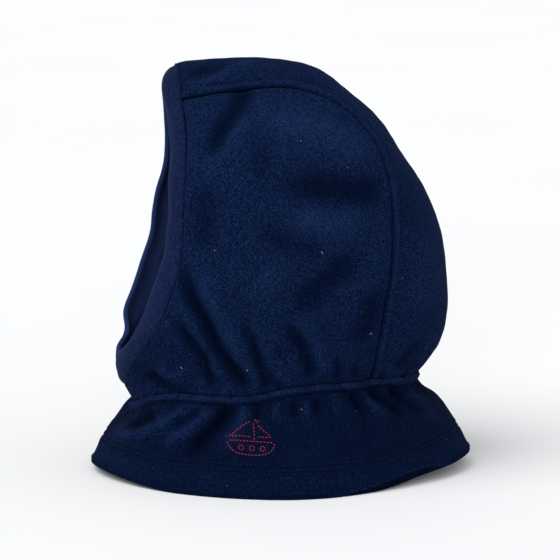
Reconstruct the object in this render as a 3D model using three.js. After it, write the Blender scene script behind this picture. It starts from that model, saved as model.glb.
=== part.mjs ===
// Child's balaclava in fleece, standing open on its collar hem.
// Millimetres, +Z up, the wearer looks along -Y and the wearer's left side is +X.
// The origin is on the ground under the middle of the collar.
import * as THREE from "three";
import { mergeVertices } from "three/addons/utils/BufferGeometryUtils.js";

// ---- Driving dimensions ----
const HOOD_WIDTH = 144; // ear to ear, the box that the hood's guide curves are drawn in
const HOOD_LENGTH = 214; // chin to the back of the head
const CROWN_HEIGHT = 264; // ground to the crown
const THROAT_HEIGHT = 43; // ground to the neck seam at the throat
const HEM_LENGTH = 246; // collar hem, front to back
const HEM_WIDTH = 186; // collar hem, side to side
const HEM_POINT = 1.75; // superellipse exponent of the hem, under 2 is drawn out at front and back
const HEM_FRONT_RISE = 5; // the hem lifts this far off the ground at the throat
const HEM_BACK_RISE = 9; // and this far at the nape
const COLLAR_BELLY = 4; // how far the collar's slant bows outwards
const CHEEK_BULGE = 16; // how far a side panel bows outwards between its seams
const CROWN_ROUND = 0.92; // 0 is a flat crown strip, near 1 is a half round one
const FACE_BAND_WIDTH = 21; // folded jersey binding, seam to fold
const FACE_BAND_BOW = 2.5; // how far the binding bows out between seam and fold

const FLEECE = 2.4; // one layer of fleece
const JERSEY_BAND = 4.2; // the folded binding, both layers
const HEM_DEPTH = 18; // turned-up hem
const HEM_LAYERS = 2; // layers of fleece in the hem
const SEAM_GAP = 0.6; // between two pieces that meet edge to edge
const FACE_GAP = 0.9; // between two pieces that lie face to face
const FACE_SEAM_CLEARANCE = 1.8; // the curved face seam's allowance, behind the binding
const ALLOWANCE_WIDTH = 6; // overlocked seam allowance
const ALLOWANCE_THICKNESS = 2;
const ELASTIC_WIDTH = 8;
const ELASTIC_THICKNESS = 1.4;
const THREAD = 0.9; // thread bead of a stitch row
const TOPSTITCH_INSET = 5.5; // crown topstitch row, from its seam
const NECK_STITCH_DROP = 5; // neck topstitch row, below the neck seam
const HEM_ROW_CLEARANCE = 0.5; // lower hem row, above the edge of the turned-up hem
const HEM_ROW_GAP = 3.5; // from the lower hem row to the upper
const MOTIF_WIDTH = 30; // embroidered sailing boat
const MOTIF_HEIGHT = 24;
const MOTIF_PLACE = [-25, 42]; // its middle, along the collar from the side and up the slant from the hem

const ROWS = 24; // stations along a seam
const ACROSS = 18; // stations across a side panel
const RING = 26; // stations along half a ring

// ---- Guide curves of the left half, as shares of the hood's box ----
const at = (x, y, z) =>
  new THREE.Vector3(
    (x * HOOD_WIDTH) / 2,
    (y * HOOD_LENGTH) / 2,
    THROAT_HEIGHT + z * (CROWN_HEIGHT - THROAT_HEIGHT),
  );
const spline = (points) => new THREE.CatmullRomCurve3(points.map((p) => at(...p)), false, "centripetal");

const faceEdge = spline([
  [0, -0.95, 0.05], [0.28, -0.93, 0.09], [0.46, -0.9, 0.14], [0.67, -0.81, 0.22], [0.81, -0.72, 0.32],
  [0.86, -0.64, 0.44], [0.85, -0.62, 0.53], [0.79, -0.61, 0.63], [0.67, -0.59, 0.76], [0.56, -0.59, 0.83],
  [0.43, -0.61, 0.9],
]);
const neckEdge = spline([
  [0, -0.89, 0], [0.25, -0.86, 0.02], [0.47, -0.79, 0.05], [0.65, -0.65, 0.07], [0.78, -0.46, 0.07],
  [0.83, -0.24, 0.07], [0.85, -0.05, 0.09], [0.82, 0.17, 0.1], [0.75, 0.36, 0.1], [0.64, 0.49, 0.1],
]);
const crownSeam = spline([
  [0.64, 0.49, 0.1], [0.69, 0.52, 0.18], [0.72, 0.56, 0.29], [0.71, 0.6, 0.42], [0.68, 0.61, 0.55],
  [0.67, 0.59, 0.67], [0.63, 0.5, 0.79], [0.56, 0.32, 0.88], [0.47, 0.07, 0.93], [0.46, -0.19, 0.93],
  [0.46, -0.39, 0.92], [0.43, -0.61, 0.9],
]);
const midline = spline([
  [0, 0.805, 0.085], [0, 0.85, 0.115], [0, 0.95, 0.165], [0, 1, 0.25], [0, 1, 0.34], [0, 0.98, 0.44],
  [0, 0.89, 0.59], [0, 0.71, 0.73], [0, 0.57, 0.83], [0, 0.41, 0.9], [0, 0.21, 0.97], [0, -0.07, 1],
  [0, -0.37, 1], [0, -0.62, 0.99],
]);

// Which way the binding leaves its seam, from the forehead (0) to the chin (1).
const bindingWay = new THREE.CatmullRomCurve3(
  [
    [0, -0.5, -0.86], [-0.5, -0.58, -0.64], [-0.7, -0.62, -0.34], [-0.8, -0.6, -0.05], [-0.72, -0.67, 0.14],
    [-0.66, -0.64, 0.4], [-0.48, -0.48, 0.73], [-0.2, -0.28, 0.94], [0, -0.24, 0.97],
  ].map((p) => new THREE.Vector3(...p)),
);

// ---- Surfaces ----
const mix = (a, b, t) => a.clone().lerp(b, t);
const mirror = (p) => new THREE.Vector3(-p.x, p.y, p.z);
const range = (n, low, high) => Array.from({ length: n + 1 }, (_, i) => low + ((high - low) * i) / n);

const CHIN_SHARE = faceEdge.getPoint(0).distanceTo(neckEdge.getPoint(0)) / faceEdge.getLength();

// The front edge of a side panel: up the short throat seam, then round the face to the crown.
function frontEdge(v) {
  if (v <= CHIN_SHARE) return mix(neckEdge.getPoint(0), faceEdge.getPoint(0), v / CHIN_SHARE);
  return faceEdge.getPointAt((v - CHIN_SHARE) / (1 - CHIN_SHARE));
}

// Left side panel: u from its front edge to the crown seam, v from the neck to the forehead.
function panel(u, v) {
  const from = frontEdge(v);
  const p = mix(from, crownSeam.getPointAt(v), u);
  const neckChord = mix(neckEdge.getPoint(0), crownSeam.getPoint(0), u);
  p.addScaledVector(neckEdge.getPointAt(u).sub(neckChord), (1 - v) ** 5);
  p.x += CHEEK_BULGE * 4 * u * (1 - u) * Math.sqrt(Math.sin(Math.PI * v));
  return p;
}

// Crown strip: w from the right seam (-1) to the left one (1), v from the nape to the forehead.
function crown(w, v) {
  const seam = crownSeam.getPointAt(v);
  const middle = midline.getPointAt(v);
  const fall = (1 - Math.sqrt(1 - (CROWN_ROUND * w) ** 2)) / (1 - Math.sqrt(1 - CROWN_ROUND ** 2));
  const p = mix(middle, new THREE.Vector3(0, seam.y, seam.z), fall);
  p.x = seam.x * w;
  return p;
}

// Half of a ring goes from front to back on the left, the other half back again on the right.
const NECK_SIDE = neckEdge.getLength();
const NECK_NAPE = new THREE.CatmullRomCurve3(range(8, 0, 1).map((w) => crown(w, 0))).getLength();

function neckRing(s) {
  if (s > 0.5) return mirror(neckRing(1 - s));
  const along = 2 * s * (NECK_SIDE + NECK_NAPE);
  if (along < NECK_SIDE) return neckEdge.getPointAt(along / NECK_SIDE);
  return crown(1 - (along - NECK_SIDE) / NECK_NAPE, 0);
}

function hemRing(s) {
  if (s > 0.5) return mirror(hemRing(1 - s));
  const turn = 2 * Math.PI * s;
  const c = Math.cos(turn);
  const x = (HEM_WIDTH / 2) * Math.sin(turn) ** (2 / HEM_POINT);
  const y = (-HEM_LENGTH / 2) * Math.sign(c) * Math.abs(c) ** (2 / HEM_POINT);
  const rise = THREE.MathUtils.smoothstep(Math.abs(c), 0.45, 1);
  return new THREE.Vector3(x, y, (c > 0 ? HEM_FRONT_RISE : HEM_BACK_RISE) * rise);
}

// Collar: s round the neck from the throat, t from the neck seam down to the hem edge.
function collar(s, t) {
  const neck = neckRing(s);
  const hem = hemRing(s);
  const out = new THREE.Vector3(hem.x, hem.y, 0).normalize();
  return mix(neck, hem, t).addScaledVector(out, COLLAR_BELLY * Math.sin(Math.PI * t));
}
const slant = (s) => neckRing(s).distanceTo(hemRing(s));

// Seam of the face binding: q from the forehead (0) down the left to the chin (0.5) and back up.
const BROW_LENGTH = new THREE.CatmullRomCurve3(range(8, 0, 1).map((w) => crown(w, 1))).getLength();
const BROW_SHARE = BROW_LENGTH / (2 * (BROW_LENGTH + faceEdge.getLength()));

function faceSeam(q) {
  if (q > 0.5) return mirror(faceSeam(1 - q));
  if (q < BROW_SHARE) return crown(q / BROW_SHARE, 1);
  return faceEdge.getPointAt(1 - (q - BROW_SHARE) / (0.5 - BROW_SHARE));
}

// Face binding: t from its seam to its fold.
function binding(q, t) {
  if (q > 0.5) return mirror(binding(1 - q, t));
  const way = bindingWay.getPoint(2 * q).normalize();
  const p = faceSeam(q).addScaledVector(way, FACE_BAND_WIDTH * t);
  const out = p.clone().sub(new THREE.Vector3(0, 0.1 * HOOD_LENGTH, CROWN_HEIGHT * 0.58));
  out.addScaledVector(way, -out.dot(way)).normalize();
  return p.addScaledVector(out, FACE_BAND_BOW * Math.sin(Math.PI * t));
}

// ---- Normals: each points away from the inside of the balaclava ----
const HEAD = new THREE.Vector3(0, 0.02 * HOOD_LENGTH, 0.55 * CROWN_HEIGHT);
const FOOT = new THREE.Vector3(0, 0, 0);

function normal(surface, a, b, inside) {
  const step = 0.004;
  const along = surface(a + step, b).sub(surface(a - step, b));
  const across = surface(a, b + step).sub(surface(a, b - step));
  const n = along.cross(across).normalize();
  const away = surface(a, b).sub(inside);
  return n.dot(away) < 0 ? n.negate() : n;
}
const clampShare = (x) => THREE.MathUtils.clamp(x, 0.02, 0.98);
const panelNormal = (u, v) => normal(panel, clampShare(u), clampShare(v), HEAD);
const crownNormal = (w, v) => normal(crown, THREE.MathUtils.clamp(w, -0.98, 0.98), clampShare(v), HEAD);
const ringShare = (q) => (q > 0.5 ? Math.max(q, 0.502) : Math.min(Math.max(q, 0.005), 0.498));
const bindingNormal = (q, t) => normal(binding, ringShare(q), clampShare(t), HEAD);
const collarNormal = (s, t) => normal(collar, ringShare(s), clampShare(t), FOOT);

// At a seam both pieces are cut along one shared normal, so their edges face each other squarely.
const crownSeamNormal = (v) => panelNormal(0.97, v).add(crownNormal(0.95, v)).normalize();
const level = (n) => new THREE.Vector3(n.x, n.y, 0).normalize();
function neckNormal(s) {
  if (s > 0.5) return mirror(neckNormal(1 - s));
  const step = 0.004;
  const low = Math.max(s, step);
  const high = Math.min(low, 0.5 - step);
  const along = neckRing(high + step).sub(neckRing(high - step));
  return level(new THREE.Vector3(-along.y, along.x, 0).negate());
}
function faceSeamNormal(q) {
  if (q > 0.5) return mirror(faceSeamNormal(1 - q));
  const share = ringShare(q);
  const along = faceSeam(share + 0.004).sub(faceSeam(share - 0.004));
  const n = along.cross(binding(share, 0.3).sub(binding(share, 0))).normalize();
  return n.dot(faceSeam(share).sub(HEAD)) < 0 ? n.negate() : n;
}

// ---- Solids ----
// A piece is a row of stations, each a strip of outer points and the inner points behind them.
function solid(stations, closed) {
  const wide = stations[0].outer.length;
  const loops = stations.map(({ outer, inner }) => [...outer, ...[...inner].reverse()]);
  const size = 2 * wide;
  const index = [];
  const quad = (a, b, c, d) => index.push(a, b, c, a, c, d);
  const last = closed ? loops.length : loops.length - 1;
  for (let i = 0; i < last; i++) {
    const here = i * size;
    const next = ((i + 1) % loops.length) * size;
    for (let j = 0; j < size; j++) {
      const k = (j + 1) % size;
      quad(here + j, here + k, next + k, next + j);
    }
  }
  if (!closed) {
    const end = (loops.length - 1) * size;
    for (let j = 0; j < wide - 1; j++) {
      quad(j, size - 1 - j, size - 2 - j, j + 1);
      quad(end + j, end + j + 1, end + size - 2 - j, end + size - 1 - j);
    }
  }
  const geometry = new THREE.BufferGeometry();
  const flat = loops.flat().flatMap((p) => [p.x, p.y, p.z]);
  geometry.setAttribute("position", new THREE.Float32BufferAttribute(flat, 3));
  geometry.setIndex(index);
  return facingOut(mergeVertices(geometry, 1e-4));
}

// Drops triangles that merging closed up, and turns the rest to face out.
function facingOut(geometry) {
  const place = (i) => new THREE.Vector3().fromBufferAttribute(geometry.attributes.position, i);
  const all = Array.from(geometry.index.array);
  const triangles = all.flatMap((_, i) => (i % 3 ? [] : [all.slice(i, i + 3)]));
  const kept = triangles.filter(([a, b, c]) => a !== b && b !== c && c !== a);
  const volume = kept.reduce((sum, [a, b, c]) => sum + place(a).dot(place(b).cross(place(c))), 0);
  geometry.setIndex(kept.flatMap(([a, b, c]) => (volume < 0 ? [a, c, b] : [a, b, c])));
  geometry.computeVertexNormals();
  return geometry;
}

const group = new THREE.Group();
const FINISHES = {
  fleece: { color: 0x11203a, roughness: 1 },
  jersey: { color: 0x1b2548, roughness: 0.85 },
  elastic: { color: 0xd8d8d4, roughness: 0.8 },
  thread: { color: 0x16243f, roughness: 0.6 },
  embroidery: { color: 0x80324c, roughness: 0.5 },
};

function piece(name, finish, geometry) {
  const material = new THREE.MeshStandardMaterial({ metalness: 0, ...FINISHES[finish] });
  const mesh = new THREE.Mesh(geometry, material);
  mesh.name = name;
  group.add(mesh);
}

// One station of a piece of cloth; layers says where it is folded to more than one thickness.
const sheet = (points, normals, thickness, layers = points.map(() => 1)) => ({
  outer: points,
  inner: points.map((p, i) => p.clone().addScaledVector(normals[i], -thickness * layers[i])),
});
const flipped = ({ outer, inner }) => ({ outer: outer.map(mirror), inner: inner.map(mirror) });

// Side panels.
const GAP_SHARE = SEAM_GAP / 2;
const SEAM_LENGTH = crownSeam.getLength();
const CORNER = 5; // the panel's top corner stops this far short of the point where three pieces meet
const NECK_SIDE_SHARE = NECK_SIDE / (2 * (NECK_SIDE + NECK_NAPE));
const heights = [GAP_SHARE / SEAM_LENGTH, CHIN_SHARE, ...range(ROWS - 2, 0.09, 1 - CORNER / SEAM_LENGTH)];

const panelStations = heights.map((v) => {
  const length = frontEdge(v).distanceTo(crownSeam.getPointAt(v));
  const inset = GAP_SHARE / length;
  const shares = range(ACROSS, inset, 1 - inset);
  const q = 0.5 - (0.5 - BROW_SHARE) * THREE.MathUtils.clamp((v - CHIN_SHARE) / (1 - CHIN_SHARE), 0, 1);
  const normals = shares.map((u) => panelNormal(u, v));
  normals[0] = v < CHIN_SHARE ? normals[1].clone() : faceSeamNormal(q);
  normals[0].x = v <= CHIN_SHARE ? 0 : normals[0].x;
  normals[0].normalize();
  normals[ACROSS] = crownSeamNormal(v);
  if (v === heights[0]) shares.forEach((u, i) => (normals[i] = neckNormal(u * NECK_SIDE_SHARE)));
  return mitred(sheet(shares.map((u) => panel(u, v)), normals, FLEECE));
});

// The inside of a left piece, cut back where it would cross the middle.
function mitred({ outer, inner }) {
  return { outer, inner: inner.map((p) => p.clone().setX(Math.max(p.x, GAP_SHARE))) };
}

piece("side_panel_left", "fleece", solid(panelStations, false));
piece("side_panel_right", "fleece", solid(panelStations.map(flipped), false));

// Crown strip, forehead to nape.
const crownHeights = [GAP_SHARE / SEAM_LENGTH, ...range(ROWS - 1, 0.05, 1 - GAP_SHARE / SEAM_LENGTH)];
const crownStations = crownHeights.map((v) => {
  const inset = GAP_SHARE / (crownSeam.getPointAt(v).x * 1.2);
  const shares = range(10, -1 + inset, 1 - inset);
  const normals = shares.map((w) => crownNormal(w, v));
  normals[10] = crownSeamNormal(v);
  normals[0] = mirror(normals[10]);
  if (v === crownHeights[0]) normals.forEach((n, i) => (normals[i] = level(n)));
  if (v === crownHeights[ROWS]) normals.forEach((n, i) => (normals[i] = browNormal(shares[i])));
  return sheet(shares.map((w) => crown(w, v)), normals, FLEECE);
});
function browNormal(w) {
  const n = faceSeamNormal(Math.abs(w) * BROW_SHARE * 0.96);
  return w < 0 ? mirror(n) : n;
}
piece("crown_band", "fleece", solid(crownStations, false));

// Folded jersey binding round the face.
const ring = range(2 * RING, 0, 1).slice(0, -1);
const bandShares = [SEAM_GAP / 2 / FACE_BAND_WIDTH, 0.25, 0.5, 0.75, 1];
const bindingStations = ring.map((q) => {
  const normals = bandShares.map((t) => bindingNormal(q, t));
  normals[0] = faceSeamNormal(q);
  return sheet(bandShares.map((t) => binding(q, t)), normals, JERSEY_BAND);
});
piece("face_band", "jersey", solid(bindingStations, true));

// Collar halves, joined at the throat and the nape, with the hem turned up inside.
const collarStations = range(RING, 0, 0.5).map((s, i) => {
  const length = slant(s);
  const hem = HEM_DEPTH / length;
  const shares = [SEAM_GAP / 2 / length, 0.2, 0.42, 1 - hem - 0.04, 1 - hem, 1 - hem / 2, 1];
  const layers = [1, 1, 1, 1, HEM_LAYERS, HEM_LAYERS, HEM_LAYERS];
  const end = i === 0 || i === RING;
  const points = shares.map((t) => collar(s, t));
  const normals = shares.map((t) => collarNormal(s, t));
  normals[0] = neckNormal(s);
  normals[shares.length - 1] = level(normals[shares.length - 1]);
  if (end) {
    normals.forEach((n) => n.setX(0).normalize());
    points.forEach((p) => p.setX(SEAM_GAP / 2));
  }
  return sheet(points, normals, FLEECE, layers);
});
piece("collar_left", "fleece", solid(collarStations, false));
piece("collar_right", "fleece", solid(collarStations.map(flipped), false));

// A flat strip along a seam, behind the fabric: depth is where its outer face lies.
function strip(points, outward, across, width, depth, thickness, closed) {
  const stations = points.map((p, i) => {
    const middle = p.clone().addScaledVector(outward[i], -depth);
    const edge = (side) => middle.clone().addScaledVector(across[i], side * width);
    return sheet([edge(-0.5), edge(0.5)], [outward[i], outward[i]], thickness);
  });
  return solid(stations, closed);
}

// Overlocked seam allowances inside.
const behindFleece = FLEECE + FACE_GAP;
const up = new THREE.Vector3(0, 0, 1);
const neckPoints = ring.map(neckRing);
const neckOut = ring.map(neckNormal);
const allUp = ring.map(() => up);
piece(
  "neck_overlock", "thread",
  strip(neckPoints, neckOut, allUp, ALLOWANCE_WIDTH, behindFleece, ALLOWANCE_THICKNESS, true),
);
const behindOverlock = behindFleece + ALLOWANCE_THICKNESS + FACE_GAP;
piece(
  "neck_elastic", "elastic",
  strip(neckPoints, neckOut, allUp, ELASTIC_WIDTH, behindOverlock, ELASTIC_THICKNESS, true),
);
const faceOut = ring.map(faceSeamNormal);
const faceAcross = ring.map((q) => binding(q, 0.3).sub(binding(q, 0)).normalize());
const behindBand = JERSEY_BAND + FACE_SEAM_CLEARANCE;
piece(
  "face_overlock", "thread",
  strip(ring.map(faceSeam), faceOut, faceAcross, ALLOWANCE_WIDTH, behindBand, ALLOWANCE_THICKNESS, true),
);

// These stop short of the rings that they run into.
const seamHeights = range(ROWS, 14 / SEAM_LENGTH, 1 - 12 / SEAM_LENGTH);
const seamOut = seamHeights.map(crownSeamNormal);
const seamAcross = seamHeights.map((v, i) => {
  const run = crownSeam.getTangentAt(v);
  return run.cross(seamOut[i]).normalize();
});
const crownOverlock = (side) =>
  strip(
    seamHeights.map((v) => side(crownSeam.getPointAt(v))), seamOut.map(side), seamAcross.map(side),
    ALLOWANCE_WIDTH, behindFleece + FACE_GAP, ALLOWANCE_THICKNESS, false,
  );
piece("crown_overlock_left", "thread", crownOverlock((p) => p.clone()));
piece("crown_overlock_right", "thread", crownOverlock(mirror));

for (const [name, s, front] of [["throat_overlock", 0, -1], ["nape_overlock", 0.5, 1]]) {
  const low = 1 - (HEM_DEPTH + 4) / slant(s);
  const shares = range(4, 11 / slant(s), low);
  const out = shares.map((t) => collarNormal(s, t).setX(0).normalize());
  const aside = shares.map(() => new THREE.Vector3(front, 0, 0));
  const middle = shares.map((t) => collar(s, t));
  piece(
    name, "thread",
    strip(middle, out, aside, ALLOWANCE_WIDTH, behindFleece, ALLOWANCE_THICKNESS, false),
  );
}

// ---- Stitch rows: a six-sided bead of thread lying on the fabric ----
function bead(points, outward, closed) {
  const r = THREAD / 2;
  const count = points.length;
  const stations = points.map((p, i) => {
    const before = points[closed ? (i + count - 1) % count : Math.max(i - 1, 0)];
    const after = points[closed ? (i + 1) % count : Math.min(i + 1, count - 1)];
    const side = after.clone().sub(before).normalize().cross(outward[i]).normalize();
    const middle = p.clone().addScaledVector(outward[i], FACE_GAP + r);
    const spot = (a, b) => middle.clone().addScaledVector(side, a * r).addScaledVector(outward[i], b * r);
    return {
      outer: [spot(-1, 0), spot(-0.5, 0.87), spot(0.5, 0.87), spot(1, 0)],
      inner: [spot(-1, 0), spot(-0.5, -0.87), spot(0.5, -0.87), spot(1, 0)],
    };
  });
  return solid(stations, closed);
}

const topstitchShares = seamHeights.map((v) => 1 - TOPSTITCH_INSET / (crownSeam.getPointAt(v).x * 1.25));
for (const [name, side] of [["left", 1], ["right", -1]]) {
  const points = seamHeights.map((v, i) => crown(side * topstitchShares[i], v));
  const out = seamHeights.map((v, i) => crownNormal(side * topstitchShares[i], v));
  piece(`crown_topstitch_${name}`, "thread", bead(points, out, false));
}

function collarRow(shareOf) {
  const shares = ring.map((s) => shareOf(slant(s)));
  const points = ring.map((s, i) => collar(s, shares[i]));
  const outward = ring.map((s, i) => collarNormal(s, shares[i]));
  return bead(points, outward, true);
}
piece("neck_topstitch", "thread", collarRow((length) => NECK_STITCH_DROP / length));
[0, 1].forEach((i) => {
  const height = HEM_DEPTH + HEM_ROW_CLEARANCE + i * HEM_ROW_GAP;
  piece(`hem_topstitch_${i + 1}`, "thread", collarRow((length) => 1 - height / length));
});

// Embroidered sailing boat on the left of the collar, one running line from sail to hull.
const boat = [
  [-0.1, 0.02], [-0.38, 0.02], [-0.2, 0.27], [0.02, 0.5], [0.02, 0.2], [0.02, -0.1], [0.25, -0.1],
  [0.5, -0.1], [0.4, -0.3], [0.26, -0.5], [0, -0.5], [-0.26, -0.5], [-0.4, -0.3], [-0.5, -0.1],
  [-0.25, -0.1],
];
const ringLength = new THREE.CatmullRomCurve3(ring.map((s) => collar(s, 0.5)), true).getLength();
const boatShares = boat.map(([a, b]) => {
  const s = 0.25 + (MOTIF_PLACE[0] + a * MOTIF_WIDTH) / ringLength;
  return [s, 1 - (MOTIF_PLACE[1] + b * MOTIF_HEIGHT) / slant(s)];
});
piece(
  "boat_embroidery", "embroidery",
  bead(boatShares.map(([s, t]) => collar(s, t)), boatShares.map(([s, t]) => collarNormal(s, t)), false),
);

export default group;
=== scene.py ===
"""A child's navy fleece balaclava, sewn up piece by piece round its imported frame.

The wearer looks along -Y, +X is the wearer's left and +Z is up. The hood stands open on the hem
of its collar. Lengths are in metres.
"""

import logging
import math
from collections.abc import Sequence
from dataclasses import dataclass
from enum import Enum
from functools import cached_property

import bpy
import numpy as np
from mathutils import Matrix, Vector


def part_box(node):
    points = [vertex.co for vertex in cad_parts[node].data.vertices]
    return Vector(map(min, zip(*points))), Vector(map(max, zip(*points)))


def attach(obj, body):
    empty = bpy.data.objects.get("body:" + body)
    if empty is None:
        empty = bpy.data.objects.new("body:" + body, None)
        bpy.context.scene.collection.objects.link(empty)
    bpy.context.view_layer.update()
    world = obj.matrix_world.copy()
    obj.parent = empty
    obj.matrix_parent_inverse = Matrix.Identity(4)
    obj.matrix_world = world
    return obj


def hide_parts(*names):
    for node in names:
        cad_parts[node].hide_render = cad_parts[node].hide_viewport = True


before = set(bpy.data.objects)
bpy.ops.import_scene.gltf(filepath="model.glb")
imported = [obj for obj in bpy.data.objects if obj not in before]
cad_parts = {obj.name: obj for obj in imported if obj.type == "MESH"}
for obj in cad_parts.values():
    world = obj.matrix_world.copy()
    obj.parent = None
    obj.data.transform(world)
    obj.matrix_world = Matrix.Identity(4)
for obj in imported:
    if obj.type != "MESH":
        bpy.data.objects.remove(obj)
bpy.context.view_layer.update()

Array = np.ndarray
MM = 0.001
BODY = "root"
SEED = 41
SPLINE_STEPS = 24
# Mesh attribute of painted light and shade: above 0 a painted highlight, below 0 painted shade.
PAINTED_LIGHT = "tone"
# Painted shade on the inner faces of the cloth.
LINING_PAINTED_SHADE = -0.2
# Painted light on the binding's back face: it mixes fully to the jersey's painted light colour.
BACK_PAINTED_LIGHT = 2.0
LEVEL = np.array([1.0, 1.0, 0.0])
MIDDLE_PLANE = np.array([0.0, 1.0, 1.0])
INSIDE_HEAD = np.array([0, 0.02, 0.15])
INSIDE_COLLAR = np.array([0, 0, 0.02])

log = logging.getLogger("balaclava")


class Slot(Enum):
    """The record's material slots."""

    FLEECE = "fleece"
    JERSEY = "jersey"
    ELASTIC = "elastic"
    THREAD = "thread"
    EMBROIDERY = "embroidery"


class Side(Enum):
    """The two sides of the wearer, each the sign of its X."""

    LEFT = 1
    RIGHT = -1

    @property
    def word(self) -> str:
        """The side's name in lower case."""
        return self.name.lower()


# ---------------------------------------------------------------- small maths


def blend(a: Array, b: Array, share: Array) -> Array:
    """The mixture of a and b, where share 0 is a and share 1 is b."""
    return a + (b - a) * share


def smooth(x: Array, low: Array | float, high: Array | float) -> Array:
    """A soft step from 0 at low to 1 at high."""
    t = np.clip((np.asarray(x, float) - low) / (high - low), 0, 1)
    return t * t * (3 - 2 * t)


def hump(x: Array, middle: float, width: float) -> Array:
    """A bell of height 1 round middle."""
    return np.exp(-(((np.asarray(x, float) - middle) / width) ** 2))


def unit(v: Array) -> Array:
    """The vectors at length 1."""
    return v / np.maximum(np.linalg.norm(v, axis=-1, keepdims=True), 1e-12)


def mirrored(points: Array, side: Side) -> Array:
    """The points on the given side, from points on the left."""
    return points * np.array([side.value, 1.0, 1.0])


def left_place(share: Array) -> Array:
    """The place on the left half of a ring that mirrors each place round it."""
    return np.where(share > 0.5, 1 - share, share)


def to_sides(points: Array, share: Array) -> Array:
    """Points of the left half, moved to the right where their place round the ring is past half."""
    return points * np.where(share > 0.5, -1.0, 1.0)[..., None] ** np.array([1, 0, 0])


def lengths(path: Array) -> Array:
    """The distance from each point of a path to the next."""
    return np.linalg.norm(np.diff(path, axis=0), axis=1)


def runs_along(path: Array) -> Array:
    """The length along a path up to each of its points."""
    return np.concatenate([[0], np.cumsum(lengths(path))])


def sampled(where: Array, run: Array, values: Array) -> Array:
    """The vectors at these lengths along a path whose points have the lengths run."""
    return np.stack([np.interp(where, run, values[:, k]) for k in range(3)], axis=-1)


@dataclass(frozen=True)
class Spline:
    """A smooth curve through a few given points, measured along its length.

    Attributes:
        points: The points, one per row, in metres.
    """

    points: Array

    @cached_property
    def _trail(self) -> tuple[Array, Array]:
        """Close points along the curve, and the length up to each."""
        p = self.points
        ends = np.vstack([2 * p[0] - p[1], p, 2 * p[-1] - p[-2]])
        steps = np.maximum(lengths(ends) ** 0.5, 1e-9)
        knots = np.concatenate([[0], np.cumsum(steps)])
        pieces = []
        for i in range(1, len(ends) - 2):
            t = np.linspace(knots[i], knots[i + 1], SPLINE_STEPS, endpoint=False)[:, None]
            k, q = knots[i - 1 : i + 3], ends[i - 1 : i + 3]
            a = [blend(q[j], q[j + 1], (t - k[j]) / (k[j + 1] - k[j])) for j in range(3)]
            b = [blend(a[j], a[j + 1], (t - k[j]) / (k[j + 2] - k[j])) for j in range(2)]
            pieces.append(blend(b[0], b[1], (t - k[1]) / (k[2] - k[1])))
        trail = np.vstack([*pieces, p[-1:]])
        return trail, runs_along(trail)

    @property
    def length(self) -> float:
        """The curve's length in metres."""
        return float(self._trail[1][-1])

    def at(self, share: Array) -> Array:
        """The points at these shares of the curve's length."""
        trail, run = self._trail
        return sampled(np.clip(share, 0, 1) * run[-1], run, trail)


# ---------------------------------------------------------------- the cut


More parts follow.
